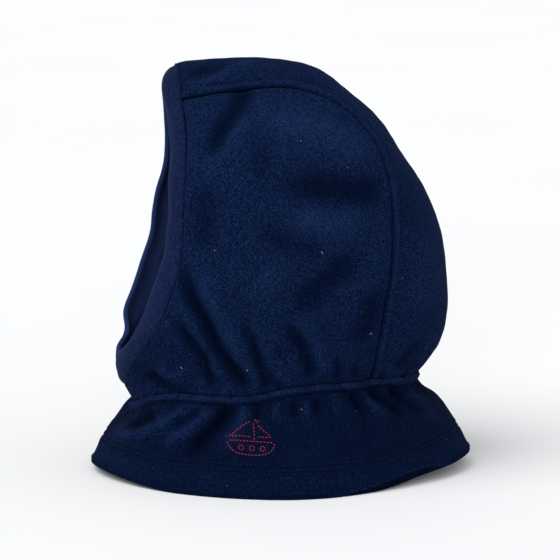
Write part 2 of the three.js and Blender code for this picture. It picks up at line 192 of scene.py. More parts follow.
@dataclass(frozen=True)
class Cut:
    """The finished shape of every piece of cloth, before folds and gathers.

    The left half is drawn and the right half mirrors it. Guide curves are shares of the hood's box.

    Attributes:
        hood_width: Ear to ear.
        hood_length: Chin to the back of the head.
        crown_height: Ground to the crown.
        throat_height: Ground to the neck seam at the throat.
        hem_width: The collar's hem, side to side.
        hem_length: The collar's hem, front to back.
        hem_point: Superellipse exponent of the hem.
        hem_front_rise: How far the hem lifts at the throat.
        hem_back_rise: How far the hem lifts at the nape.
        front_rise_start: Where the hem starts to lift in front, as a cosine of the turn round it.
        back_rise_start: Where it starts to lift at the back.
        collar_belly: How far the collar's slant bows out.
        cheek_bulge: How far a side panel bows out between its seams.
        crown_round: How round the crown strip is across.
        band_width: The face binding, from seam to fold.
        band_bow: How far the binding bows out.
    """

    hood_width: float
    hood_length: float
    crown_height: float
    throat_height: float
    hem_width: float
    hem_length: float
    hem_point: float = 1.75
    hem_front_rise: float = 5 * MM
    hem_back_rise: float = 9 * MM
    front_rise_start: float = 0.62
    back_rise_start: float = 0.45
    collar_belly: float = 4 * MM
    cheek_bulge: float = 16 * MM
    crown_round: float = 0.92
    band_width: float = 21 * MM
    band_bow: float = 2.5 * MM

    @classmethod
    def from_frame(cls) -> "Cut":
        """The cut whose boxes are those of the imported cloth."""
        panel_low, panel_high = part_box("side_panel_left")
        _, crown_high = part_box("crown_band")
        hem_low, hem_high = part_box("collar_left")
        return cls(
            hood_width=2 * panel_high.x,
            hood_length=2 * crown_high.y,
            crown_height=crown_high.z,
            throat_height=panel_low.z,
            hem_width=2 * hem_high.x,
            hem_length=hem_high.y - hem_low.y,
        )

    def spline(self, shares: Sequence[tuple[float, float, float]]) -> Spline:
        """The curve through points given as shares of the hood's box."""
        box = [self.hood_width / 2, self.hood_length / 2, self.crown_height - self.throat_height]
        return Spline(np.array(shares) * np.array(box) + np.array([0, 0, self.throat_height]))

    @cached_property
    def face_edge(self) -> Spline:
        """The binding's seam on the left, from the chin up to the crown seam."""
        return self.spline([
            (0, -0.95, 0.05), (0.28, -0.93, 0.09), (0.46, -0.9, 0.14), (0.67, -0.81, 0.22),
            (0.81, -0.72, 0.32), (0.86, -0.64, 0.44), (0.85, -0.62, 0.53), (0.79, -0.61, 0.63),
            (0.67, -0.59, 0.76), (0.56, -0.59, 0.83), (0.43, -0.61, 0.9),
        ])

    @cached_property
    def neck_edge(self) -> Spline:
        """The neck seam of a side panel, from the throat back to the crown strip."""
        return self.spline([
            (0, -0.89, 0), (0.25, -0.86, 0.02), (0.47, -0.79, 0.05), (0.65, -0.65, 0.07),
            (0.78, -0.46, 0.07), (0.83, -0.24, 0.07), (0.85, -0.05, 0.09), (0.82, 0.17, 0.1),
            (0.75, 0.36, 0.1), (0.64, 0.49, 0.1),
        ])

    @cached_property
    def crown_seam(self) -> Spline:
        """The seam of the crown strip and a side panel, from the neck over to the forehead."""
        return self.spline([
            (0.64, 0.49, 0.1), (0.69, 0.52, 0.18), (0.72, 0.56, 0.29), (0.71, 0.6, 0.42),
            (0.68, 0.61, 0.55), (0.67, 0.59, 0.67), (0.63, 0.5, 0.79), (0.56, 0.32, 0.88),
            (0.47, 0.07, 0.93), (0.46, -0.19, 0.93), (0.46, -0.39, 0.92), (0.43, -0.61, 0.9),
        ])

    @cached_property
    def midline(self) -> Spline:
        """The middle of the crown strip, from the nape over to the forehead."""
        return self.spline([
            (0, 0.805, 0.085), (0, 0.85, 0.115), (0, 0.95, 0.165), (0, 1, 0.25), (0, 1, 0.34),
            (0, 0.98, 0.44), (0, 0.89, 0.59), (0, 0.71, 0.73), (0, 0.57, 0.83), (0, 0.41, 0.9),
            (0, 0.21, 0.97), (0, -0.07, 1), (0, -0.37, 1), (0, -0.62, 0.99),
        ])

    @cached_property
    def binding_way(self) -> Spline:
        """Which way the binding leaves its seam, from the forehead to the chin."""
        return Spline(np.array([
            (0, -0.5, -0.86), (-0.5, -0.58, -0.64), (-0.7, -0.62, -0.34), (-0.8, -0.6, -0.05),
            (-0.72, -0.67, 0.14), (-0.66, -0.64, 0.4), (-0.48, -0.48, 0.73), (-0.2, -0.28, 0.94),
            (0, -0.24, 0.97),
        ]))

    @cached_property
    def chin_share(self) -> float:
        """The throat seam's length as a share of the face edge."""
        gap = self.face_edge.at(np.zeros(1)) - self.neck_edge.at(np.zeros(1))
        return float(np.linalg.norm(gap)) / self.face_edge.length

    def front_edge(self, v: Array) -> Array:
        """A side panel's front edge: up the throat seam, then round the face to the crown.

        Args:
            v: From the neck (0) to the forehead (1).

        Returns:
            The points, in metres.
        """
        chin = self.chin_share
        throat = blend(self.neck_edge.at(0 * v), self.face_edge.at(0 * v), (v / chin)[..., None])
        face = self.face_edge.at((v - chin) / (1 - chin))
        return np.where((v <= chin)[..., None], throat, face)

    def panel(self, u: Array, v: Array) -> Array:
        """Points of the left side panel.

        Args:
            u: From the front edge (0) to the crown seam (1).
            v: From the neck (0) to the forehead (1).

        Returns:
            The points, in metres.
        """
        row = blend(self.front_edge(v), self.crown_seam.at(v), u[..., None])
        chord = blend(self.neck_edge.at(0 * u), self.crown_seam.at(0 * u), u[..., None])
        row = row + (self.neck_edge.at(u) - chord) * ((1 - v) ** 5)[..., None]
        bow = self.cheek_bulge * 4 * u * (1 - u) * np.sqrt(np.sin(np.pi * np.clip(v, 0, 1)))
        row[..., 0] += bow
        return row

    def crown(self, w: Array, v: Array) -> Array:
        """Points of the crown strip.

        Args:
            w: From the right seam (-1) to the left seam (1).
            v: From the nape (0) to the forehead (1).

        Returns:
            The points, in metres.
        """
        seam, middle = self.crown_seam.at(v), self.midline.at(v)
        k = self.crown_round
        fall = (1 - np.sqrt(1 - (k * w) ** 2)) / (1 - math.sqrt(1 - k * k))
        points = blend(middle, seam * MIDDLE_PLANE, fall[..., None])
        points[..., 0] = seam[..., 0] * w
        return points

    @cached_property
    def neck_lengths(self) -> tuple[float, float]:
        """Half the neck seam: its stretch on a side panel, and its stretch on the crown strip."""
        w = np.linspace(0, 1, 40)
        nape = self.crown(w, 0 * w)
        return self.neck_edge.length, float(lengths(nape).sum())

    def neck_ring(self, s: Array) -> Array:
        """The neck seam.

        Args:
            s: The place round it, from the throat (0) along the left to the nape (0.5) and back.

        Returns:
            The points, in metres.
        """
        half = left_place(s)
        side, nape = self.neck_lengths
        along = 2 * half * (side + nape)
        back = self.crown(np.clip(1 - (along - side) / nape, 0, 1), 0 * half)
        points = np.where((along < side)[..., None], self.neck_edge.at(along / side), back)
        return to_sides(points, s)

    def hem_ring(self, s: Array) -> Array:
        """The hem's edge.

        Args:
            s: The place round it, from the throat (0) along the left to the nape (0.5) and back.

        Returns:
            The points, in metres.
        """
        turn = 2 * np.pi * s
        power = 2 / self.hem_point
        c, d = np.cos(turn), np.sin(turn)
        x = self.hem_width / 2 * np.sign(d) * np.abs(d) ** power
        y = -self.hem_length / 2 * np.sign(c) * np.abs(c) ** power
        rise = np.where(c > 0, self.hem_front_rise, self.hem_back_rise)
        start = np.where(c > 0, self.front_rise_start, self.back_rise_start)
        return np.stack([x, y, rise * smooth(np.abs(c), start, 1)], axis=-1)

    def collar(self, s: Array, t: Array) -> Array:
        """Points of the collar.

        Args:
            s: The place round it, from the throat (0) along the left to the nape (0.5) and back.
            t: From the neck seam (0) to the hem (1).

        Returns:
            The points, in metres.
        """
        hem = self.hem_ring(s)
        out = unit(hem * LEVEL)
        slope = blend(self.neck_ring(s), hem, t[..., None])
        return slope + out * (self.collar_belly * np.sin(np.pi * t))[..., None]

    def slant(self, s: Array) -> Array:
        """The collar's length from the neck seam to the hem's edge."""
        return np.linalg.norm(self.neck_ring(s) - self.hem_ring(s), axis=-1)

    @cached_property
    def brow_share(self) -> float:
        """The crown strip's share of half the binding's seam."""
        w = np.linspace(0, 1, 40)
        brow = float(lengths(self.crown(w, 0 * w + 1)).sum())
        return brow / (2 * (brow + self.face_edge.length))

    def face_seam(self, q: Array) -> Array:
        """The binding's seam.

        Args:
            q: The place round it, from the forehead (0) down the left to the chin (0.5) and back.

        Returns:
            The points, in metres.
        """
        half = left_place(q)
        brow = self.brow_share
        top = self.crown(np.clip(half / brow, 0, 1), 0 * half + 1)
        side = self.face_edge.at(1 - (half - brow) / (0.5 - brow))
        return to_sides(np.where((half < brow)[..., None], top, side), q)

    def binding(self, q: Array, t: Array) -> Array:
        """Points of the face binding.

        Args:
            q: The place round it, from the forehead (0) down the left to the chin (0.5) and back.
            t: From its seam (0) to its fold (1).

        Returns:
            The points, in metres.
        """
        half = left_place(q)
        trail = self.binding_way.points
        way = unit(sampled(2 * half, np.linspace(0, 1, len(trail)), trail))
        points = self.face_seam(half) + way * (self.band_width * t)[..., None]
        centre = np.array([0, 0.1 * self.hood_length, 0.58 * self.crown_height])
        out = points - centre
        out = unit(out - way * (out * way).sum(-1, keepdims=True))
        points = points + out * (self.band_bow * np.sin(np.pi * np.clip(t, 0, 1)))[..., None]
        return to_sides(points, q)


# ---------------------------------------------------------------- folds and gathers


@dataclass(frozen=True)
class Fold:
    """One soft fold of the cloth, seen from the side.

    Attributes:
        path: Points along it as (back, up) in millimetres from the frame's origin.
        height: How far it stands out in millimetres; a valley is below 0.
        width: From its middle to where it fades, in millimetres.
        ends: How far from its ends it fades out, as a share of its length.
    """

    path: tuple[tuple[float, float], ...]
    height: float
    width: float
    ends: tuple[float, float] = (0.25, 0.25)

    def lift(self, back: Array, up: Array) -> Array:
        """How far the cloth stands out at points seen from the side.

        Args:
            back: Places along +Y, in metres.
            up: Places along +Z, in metres.

        Returns:
            The lift in metres.
        """
        path = np.array(self.path) * MM
        runs = lengths(path)
        starts = np.concatenate([[0], np.cumsum(runs)])
        nearest = np.full(back.shape, np.inf)
        along = np.zeros(back.shape)
        for (y0, z0), (y1, z1), run, start in zip(path[:-1], path[1:], runs, starts):
            dy, dz = (y1 - y0) / run, (z1 - z0) / run
            t = np.clip((back - y0) * dy + (up - z0) * dz, 0, run)
            gap = np.hypot(back - y0 - t * dy, up - z0 - t * dz)
            closer = gap < nearest
            nearest = np.where(closer, gap, nearest)
            along = np.where(closer, (start + t) / starts[-1], along)
        first, last = self.ends
        fade = smooth(along, -0.02, first) * smooth(1 - along, -0.02, last)
        return self.height * MM * fade * np.exp(-((nearest / (self.width * MM)) ** 2))


HOOD_FOLDS = (
    Fold(
        ((-70, 150), (-61, 122), (-52, 107), (-45, 90), (-36, 78), (-24, 64)), -3.2, 4.5, (0.3, 0.1)
    ),
    Fold(
        ((-62, 150), (-52, 125), (-42, 105), (-35, 90), (-26, 76), (-16, 66)), 1.8, 6.0, (0.35, 0.1)
    ),
    Fold(((-73, 112), (-64, 97), (-54, 84), (-47, 64)), -2.4, 3.5, (0.4, 0.1)),
    Fold(((-70, 122), (-60, 104), (-51, 88), (-41, 68)), 1.4, 4.0, (0.4, 0.15)),
    Fold(((-34, 114), (-24, 96), (-18, 76), (-13, 63)), -2.3, 3.6, (0.45, 0.1)),
    Fold(((-27, 108), (-17, 92), (-11, 76), (-8, 66)), 1.4, 3.8, (0.4, 0.1)),
    Fold(((-14, 80), (-6, 62)), -1.5, 2.6, (0.4, 0.1)),
    Fold(((-7, 114), (8, 90), (15, 70)), -2.1, 3.8, (0.5, 0.1)),
    Fold(((4, 112), (17, 90), (22, 72)), 1.3, 4.2, (0.4, 0.15)),
    Fold(((30, 84), (30, 69)), -1.4, 2.4, (0.4, 0.1)),
    Fold(((38, 80), (43, 67)), -1.3, 2.4, (0.4, 0.1)),
    Fold(((-88, 72), (-85, 68), (-74, 62), (-60, 61)), -1.8, 3.0, (0.2, 0.3)),
    Fold(((-84, 78), (-74, 71), (-62, 70)), 1.3, 3.4, (0.3, 0.3)),
    Fold(((88, 90), (80, 82), (69, 70)), -1.9, 4.5, (0.3, 0.1)),
    Fold(((-24, 252), (-30, 240), (-40, 226), (-51, 205)), -3.2, 6.0, (0.12, 0.25)),
    Fold(((-20, 240), (-40, 216), (-55, 196)), 2.0, 7.0, (0.3, 0.3)),
    Fold(((-18, 234), (25, 222), (56, 204)), 2.2, 10.0, (0.25, 0.25)),
    Fold(((-28, 208), (-6, 208)), -1.1, 14.0, (0.4, 0.4)),
    Fold(((-14, 194), (28, 189), (66, 184)), -2.6, 9.5, (0.4, 0.2)),
    Fold(((-51, 196), (-53, 170), (-55, 148)), -1.6, 8.0, (0.3, 0.3)),
    Fold(((-6, 174), (28, 166), (52, 166)), 2.0, 10.0, (0.3, 0.3)),
    Fold(((-26, 165), (24, 150)), -1.4, 7.0, (0.3, 0.3)),
    Fold(((48, 150), (16, 126), (0, 110)), -2.2, 8.0, (0.3, 0.3)),
    Fold(((-22, 138), (-4, 126)), 1.8, 12.0, (0.4, 0.4)),
    Fold(((56, 128), (51, 102), (36, 88)), -1.8, 7.0, (0.3, 0.3)),
    Fold(((92, 160), (88, 130), (84, 106)), 1.5, 9.0, (0.3, 0.3)),
    Fold(((-16, 265), (-31, 261), (-42, 255), (-60, 249)), 2.2, 2.4, (0.1, 0.2)),
    Fold(((-22, 270), (-34, 266), (-48, 260), (-62, 256)), -2.2, 4.0, (0.1, 0.2)),
)

COLLAR_FOLDS = (
    Fold(((-36, 53), (-45, 44), (-53, 36), (-68, 21)), -2.6, 3.6, (0.1, 0.35)),
    Fold(((-47, 53), (-63, 40), (-82, 26)), 1.8, 4.5, (0.15, 0.35)),
    Fold(((-56, 50), (-66, 43), (-76, 38)), -1.7, 3.0, (0.15, 0.4)),
    Fold(((-26, 54), (-34, 40), (-46, 26)), 1.5, 4.5, (0.1, 0.4)),
    Fold(((-112, 26), (-92, 34), (-68, 47), (-56, 54)), 1.8, 4.0, (0.2, 0.2)),
    Fold(((-104, 34), (-92, 41), (-84, 46)), -2.6, 4.0, (0.3, 0.1)),
    Fold(((38, 59), (50, 43)), -1.8, 3.0, (0.1, 0.5)),
    Fold(((51, 60), (62, 51), (75, 41)), -2.1, 3.2, (0.1, 0.4)),
    Fold(((46, 56), (64, 41)), 1.2, 3.4, (0.15, 0.4)),
    Fold(((63, 60), (85, 43), (96, 40)), -2.0, 3.2, (0.1, 0.4)),
    Fold(((74, 55), (98, 34)), 1.4, 5.0, (0.15, 0.4)),
    Fold(((2, 56), (2, 45)), -1.2, 2.2, (0.1, 0.5)),
    Fold(((16, 58), (17, 46)), -1.3, 2.4, (0.1, 0.5)),
    Fold(((-19, 56), (-22, 44)), -1.4, 2.6, (0.1, 0.5)),
    Fold(((9, 58), (10, 40)), 1.1, 3.0, (0.1, 0.5)),
    Fold(((26, 60), (30, 44)), 1.0, 3.6, (0.1, 0.5)),
    Fold(((-8, 56), (-10, 42)), 1.0, 3.6, (0.1, 0.5)),
)


@dataclass(frozen=True)
class Drape:
    """The folds, gathers and slow waves of the cloth, in the same place on every piece they cross.

    Attributes:
        cut: The finished shapes that the folds lie on; not used.
        gather_count: Gathers in half the neck seam.
        gather_height: How far a gather stands out.
        fold_scale: How much stronger every fold is than drawn.
    """

    cut: Cut
    gather_count: int = 27
    gather_height: float = 1.9 * MM
    fold_scale: float = 1.6

    def _folds(self, folds: Sequence[Fold], points: Array) -> Array:
        """The folds' lift on both sides, where the right's folds are the left's, moved a little.

        Args:
            folds: The folds, as they lie on the left.
            points: Points of the smooth cloth.

        Returns:
            The lift in metres.
        """
        back, up = points[..., 1], points[..., 2]
        left = sum(f.lift(back, up) for f in folds)
        moved_back = back + 6 * MM * np.sin(up * 31 + 1.3) + 5 * MM
        moved_up = up + 5 * MM * np.sin(back * 37 + 0.4) - 3 * MM
        right = sum(f.lift(moved_back, moved_up) for f in folds) * 0.85
        return self.fold_scale * blend(right, left, smooth(points[..., 0], -12 * MM, 12 * MM))

    @staticmethod
    def waves(points: Array, scale: float, seed: int) -> Array:
        """Slow random waves of height about 1.

        Args:
            points: Where, in metres.
            scale: Length of a wave in metres.
            seed: Which waves.

        Returns:
            One number for each point.
        """
        draw = np.random.default_rng(SEED + seed)
        total = np.zeros(points.shape[:-1])
        for _ in range(7):
            way = unit(draw.normal(size=3)) * (2 * np.pi / scale) * draw.uniform(0.7, 1.4)
            total += np.sin(points @ way + draw.uniform(0, 2 * np.pi))
        return total / 2.6

    def gathers(self, s: Array, seed: int) -> Array:
        """Uneven puckers round the neck seam.

        Args:
            s: Places round the neck seam.
            seed: Which puckers.

        Returns:
            One number for each place, mostly from -1 to 1.
        """
        draw = np.random.default_rng(SEED + seed)
        total = np.zeros(s.shape)
        count = 2 * self.gather_count
        for k in range(count):
            middle = (k + draw.uniform(-0.3, 0.3)) / count
            gap = (s - middle + 0.5) % 1 - 0.5
            total += draw.uniform(0.5, 1.25) * np.exp(-((gap * count / 0.42) ** 2))
        return total - 0.6

    def hood(self, points: Array, s: Array, height: Array, facing: Array) -> tuple[Array, Array]:
        """The hood's lift, and the part of it that is folds and gathers.

        Args:
            points: Points of the smooth hood.
            s: The place along the neck seam under each point.
            height: How far each point is above the neck seam.
            facing: How much of the folds shows at each point.

        Returns:
            The lift and that part of it, in metres.
        """
        relief = self._folds(HOOD_FOLDS, points) * facing
        lift = relief + 0.55 * MM * self.waves(points, 0.045, 1)
        lift = lift + 0.2 * MM * self.waves(points, 0.014, 2)
        near = np.exp(-height / (15 * MM)) * smooth(height, -1 * MM, 2 * MM)
        gathers = self.gather_height * self.gathers(s, 3) * near
        lift = lift + gathers + 1.5 * MM * hump(height, 9 * MM, 8 * MM)
        return lift, relief + gathers

    def collar(self, points: Array, s: Array, depth: Array, facing: Array) -> tuple[Array, Array]:
        """The collar's lift, and the part of it that is folds and gathers.

        Args:
            points: Points of the smooth collar.
            s: The place of each along the ring.
            depth: How far each is below the neck seam.
            facing: How much of the folds shows at each.

        Returns:
            The lift and that part of it, in metres.
        """
        relief = self._folds(COLLAR_FOLDS, points) * facing
        lift = relief + 0.4 * MM * self.waves(points, 0.04, 4)
        lift = lift + 0.18 * MM * self.waves(points, 0.013, 5)
        near = np.exp(-np.maximum(depth - 4 * MM, 0) / (14 * MM))
        puckers = blend(self.gathers(s, 3), self.gathers(s, 6), smooth(depth, 0, 9 * MM))
        gathers = 0.9 * self.gather_height * puckers * near
        return lift + gathers, relief + gathers


# ---------------------------------------------------------------- meshes


def outward(grid: Array, inside: Array) -> Array:
    """The normals of a grid of points, turned away from a point inside.

    Args:
        grid: The points, rows by columns by 3.
        inside: The point inside.

    Returns:
        One unit vector for each point.
    """
    across = np.gradient(grid, axis=1)
    along = np.gradient(grid, axis=0)
    n = unit(np.cross(along, across))
    return -n if ((grid - inside) * n).sum() < 0 else n


def grid_faces(rows: int, cols: int, wrap: bool = False, start: int = 0) -> list[tuple[int, ...]]:
    """The four-sided faces of a grid of vertices.

    Args:
        rows: How many rows the grid has.
        cols: How many columns.
        wrap: Whether the last row joins the first.
        start: The number of the grid's first vertex; the others follow row by row.

    Returns:
        Each face's vertex numbers.
    """
    i, j = np.meshgrid(np.arange(rows - 1 + wrap), np.arange(cols - 1), indexing="ij")
    a = start + i * cols + j
    b = start + ((i + 1) % rows) * cols + j
    return np.stack([a, a + 1, b + 1, b], axis=-1).reshape(-1, 4).tolist()


def mesh_object(name: str, points: Array, faces: Sequence[Sequence[int]]) -> bpy.types.Object:
    """Makes a smooth-shaded object in the scene.

    Args:
        name: Its name.
        points: Its vertices, in an array whose last axis is 3 long.
        faces: Each face's vertex numbers.

    Returns:
        The new object.
    """
    mesh = bpy.data.meshes.new(name)
    mesh.from_pydata(np.asarray(points).reshape(-1, 3).tolist(), [], faces)
    mesh.validate()
    mesh.shade_smooth()
    made = bpy.data.objects.new(name, mesh)
    bpy.context.scene.collection.objects.link(made)
    return made


def cloth(
    name: str, outer: Array, inner: Array, wrap: bool = False, tone: Array | None = None
) -> bpy.types.Object:
    """A closed layer of cloth between two grids of points.

    Args:
        name: The piece's name.
        outer: The grid of its outer face, rows by columns by 3.
        inner: The grid of its inner face, as large.
        wrap: Whether the last row joins the first.
        tone: Painted light and shade on the outer face at each point; 0 is none.

    Returns:
        The new object.
    """
    rows, cols = outer.shape[:2]
    count = rows * cols
    faces = grid_faces(rows, cols, wrap)
    faces += [tuple(reversed(f)) for f in grid_faces(rows, cols, wrap, count)]
    for edge in (0, cols - 1):
        line = np.arange(rows) * cols + edge
        faces += rim(line, line + count, wrap, flip=edge == 0)
    if not wrap:
        for edge in (0, (rows - 1) * cols):
            line = np.arange(cols) + edge
            faces += rim(line, line + count, False, flip=edge != 0)
    made = mesh_object(name, np.concatenate([outer.reshape(-1, 3), inner.reshape(-1, 3)]), faces)
    if tone is not None:
        # The inner face takes the lining's painted shade.
        values = np.concatenate([tone.ravel(), np.full(count, LINING_PAINTED_SHADE)])
        made.data.attributes.new(PAINTED_LIGHT, "FLOAT", "POINT").data.foreach_set("value", values)
    turn_out(made)
    return made


def rim(a: Array, b: Array, wrap: bool, flip: bool) -> list[tuple[int, ...]]:
    """The faces that join two lines of vertices.

    Args:
        a: The vertex numbers of one line.
        b: Those of the other, as many.
        wrap: Whether each line's end joins its start.
        flip: Whether the faces look the other way.

    Returns:
        Each face's vertex numbers.
    """
    ends = (np.roll(a, -1), np.roll(b, -1)) if wrap else (a[1:], b[1:])
    a, b = (a, b) if wrap else (a[:-1], b[:-1])
    quads = np.stack([a, b, ends[1], ends[0]] if not flip else [a, ends[0], ends[1], b], axis=-1)
    return quads.tolist()


def turn_out(piece: bpy.types.Object) -> None:
    """Turns a closed mesh's faces out if they face in."""
    mesh = piece.data
    mesh.calc_loop_triangles()
    points = np.empty(len(mesh.vertices) * 3)
    mesh.vertices.foreach_get("co", points)
    corners = np.empty(len(mesh.loop_triangles) * 3, np.int32)
    mesh.loop_triangles.foreach_get("vertices", corners)
    a, b, c = points.reshape(-1, 3)[corners.reshape(-1, 3)].transpose(1, 0, 2)
    if (a * np.cross(b, c)).sum() < 0:
        mesh.flip_normals()


@dataclass
class Layer:
    """A layer of cloth as a grid, with what is sewn to it placed by distance.

    Attributes:
        outer: The outer face's points, rows by columns by 3.
        out: The outward normals there.
    """

    outer: Array
    out: Array

    @cached_property
    def runs(self) -> Array:
        """The distance of each point from its row's first column."""
        return np.array([runs_along(row) for row in self.outer])

    def line(self, distance: float, from_end: bool = False) -> tuple[Array, Array]:
        """The line across the rows at a distance from the first or the last column.

        Args:
            distance: The distance in metres.
            from_end: Whether it counts from the last column.

        Returns:
            Its points and the outward normals there.
        """
        where = self.runs[:, -1] - distance if from_end else np.full(len(self.runs), distance)
        return self._along(where, self.outer), unit(self._along(where, self.out))

    def _along(self, where: Array, values: Array) -> Array:
        """The values at a distance along each row."""
        rows = zip(where, self.runs, values)
        return np.array([sampled(distance, run, row) for distance, run, row in rows])

    def spot(self, row_share: Array, distance_from_end: Array) -> tuple[Array, Array]:
        """Single spots of the outer face.

        Args:
            row_share: Where each lies across the rows, from the first (0) to the last (1).
            distance_from_end: How far each is from the last column, in metres.

        Returns:
            The points and the outward normals there.
        """
        rows = row_share * (len(self.outer) - 1)
        points, normals = [], []
        for r, d in zip(rows, distance_from_end):
            low = min(int(r), len(self.outer) - 2)
            pair = slice(low, low + 2)
            where = self.runs[pair, -1] - d
            part = Layer(self.outer[pair], self.out[pair])
            for values, kept in ((self.outer, points), (self.out, normals)):
                ends = part._along(where, values[pair])
                kept.append(blend(ends[0], ends[1], r - low))
        return np.array(points), unit(np.array(normals))


def stitched(
    name: str, path: Array, out: Array, stitch: float, gap: float, radius: float, sink: float = 0.4
) -> bpy.types.Object:
    """A row of separate stitches, each a short bead of thread whose ends dip into the cloth.

    Args:
        name: The piece's name.
        path: Points along the row.
        out: The outward normals there.
        stitch: Length of a stitch.
        gap: Length between two.
        radius: Radius of the thread.
        sink: How deep the ends dip, in radii.

    Returns:
        The new object.
    """
    run = runs_along(path)
    count = max(1, int(run[-1] // (stitch + gap)))
    starts = (np.arange(count) + 0.5 * gap / (stitch + gap)) * run[-1] / count
    rings = np.array([0.0, 0.12, 0.35, 0.65, 0.88, 1.0])
    fat = np.array([0.25, 0.8, 1.0, 1.0, 0.8, 0.25])
    dip = np.array([1.0, 0.35, 0.0, 0.0, 0.35, 1.0])
    sides = 6
    turns = np.arange(sides) / sides * 2 * np.pi
    points, faces = [], []
    for start in starts:
        where = start + rings * stitch
        middle = sampled(where, run, path)
        n = unit(sampled(where, run, out))
        along = unit(np.gradient(middle, axis=0))
        aside = unit(np.cross(along, n))
        middle = middle + n * (radius * (0.75 - (sink + 0.8) * dip))[:, None]
        cos, sin = np.cos(turns)[None, :, None], np.sin(turns)[None, :, None]
        round_it = aside[:, None] * cos + n[:, None] * sin
        base = len(points) * len(rings) * sides
        points.append(middle[:, None] + round_it * (radius * fat)[:, None, None])
        for i in range(len(rings) - 1):
            for j in range(sides):
                k = (j + 1) % sides
                a, b = base + i * sides, base + (i + 1) * sides
                faces.append((a + j, a + k, b + k, b + j))
        faces.append(tuple(base + j for j in range(sides)))
        last = base + (len(rings) - 1) * sides
        faces.append(tuple(last + j for j in reversed(range(sides))))
    made = mesh_object(name, np.concatenate(points), faces)
    turn_out(made)
    return made


def topstitched(name: str, path: Array, out: Array) -> bpy.types.Object:
    """A stitch row as long, as close and as thick as the sewing machine makes it."""
    return stitched(name, path, out, 2.2 * MM, 0.6 * MM, 0.25 * MM)


def taped(
    name: str, middle: Array, out: Array, aside: Array, width: float, thick: float, wrap: bool,
    ridge: float = 0.0, pitch: float = 1.8 * MM,
) -> bpy.types.Object:
    """A flat tape or an overlocked edge that follows a line behind the cloth.

    Args:
        name: The piece's name.
        middle: Points along its middle.
        out: The directions in which its outer face looks.
        aside: The directions across it.
        width: Its width.
        thick: Its thickness.
        wrap: Whether its end joins its start.
        ridge: How far the loops of thread across it stand out.
        pitch: From one loop to the next.

    Returns:
        The new object.
    """
    def closed(values: Array) -> Array:
        """The values, with the first again at the end if the tape is a ring."""
        return np.vstack([values, values[:1]]) if wrap else values

    run = runs_along(closed(middle))
    count = int(run[-1] / (pitch / 4))
    where = np.linspace(0, run[-1], count, endpoint=not wrap)
    centre, face, side = (
        sampled(where, run, closed(values))[:, None] for values in (middle, out, aside)
    )
    face, side = unit(face), unit(side)
    across = np.linspace(-1, 1, 9)
    round_edge = np.sqrt(1 - (0.96 * across) ** 4)
    loops = np.sin(2 * np.pi * (where[:, None] / pitch + 0.35 * across[None])) * ridge
    half = (thick / 2 * round_edge[None] + loops * round_edge[None])[..., None]
    flat = centre + side * (across * width / 2)[None, :, None]
    return cloth(name, flat + face * half, flat - face * half, wrap)


def overlocked(
    name: str, middle: Array, out: Array, aside: Array, wrap: bool
) -> bpy.types.Object:
    """An overlocked seam allowance, 6 mm wide.

    Args:
        name: The piece's name.
        middle: Points along its middle.
        out: The directions in which its outer face looks.
        aside: The directions across it.
        wrap: Whether its end joins its start.

    Returns:
        The new object.
    """
    return taped(name, middle, out, aside, 6 * MM, 2 * MM, wrap, ridge=0.3 * MM)


# ---------------------------------------------------------------- finishes


class Wire:
    """A socket that carries a number or a colour, with the sums a shader needs."""

    def __init__(self, board: "Board", socket: bpy.types.NodeSocket) -> None:
        """Holds a node's output socket on its board."""
        self.board = board
        self.socket = socket

    def _sum(self, operation: str, first: "Wire | float", second: "Wire | float") -> "Wire":
        """One Math node."""
        return self.board.node("ShaderNodeMath", {"operation": operation}, {0: first, 1: second})

    def __add__(self, other: "Wire | float") -> "Wire":
        """self + other."""
        return self._sum("ADD", self, other)

    __radd__ = __add__

    def __sub__(self, other: "Wire | float") -> "Wire":
        """self - other."""
        return self._sum("SUBTRACT", self, other)

    def __rsub__(self, other: "Wire | float") -> "Wire":
        """other - self."""
        return self._sum("SUBTRACT", other, self)

    def __mul__(self, other: "Wire | float") -> "Wire":
        """self * other."""
        return self._sum("MULTIPLY", self, other)

    __rmul__ = __mul__

    def __lt__(self, other: "Wire | float") -> "Wire":
        """1 where self is less than other, 0 elsewhere."""
        return self._sum("LESS_THAN", self, other)

    def __gt__(self, other: "Wire | float") -> "Wire":
        """1 where self is more than other, 0 elsewhere."""
        return self._sum("GREATER_THAN", self, other)


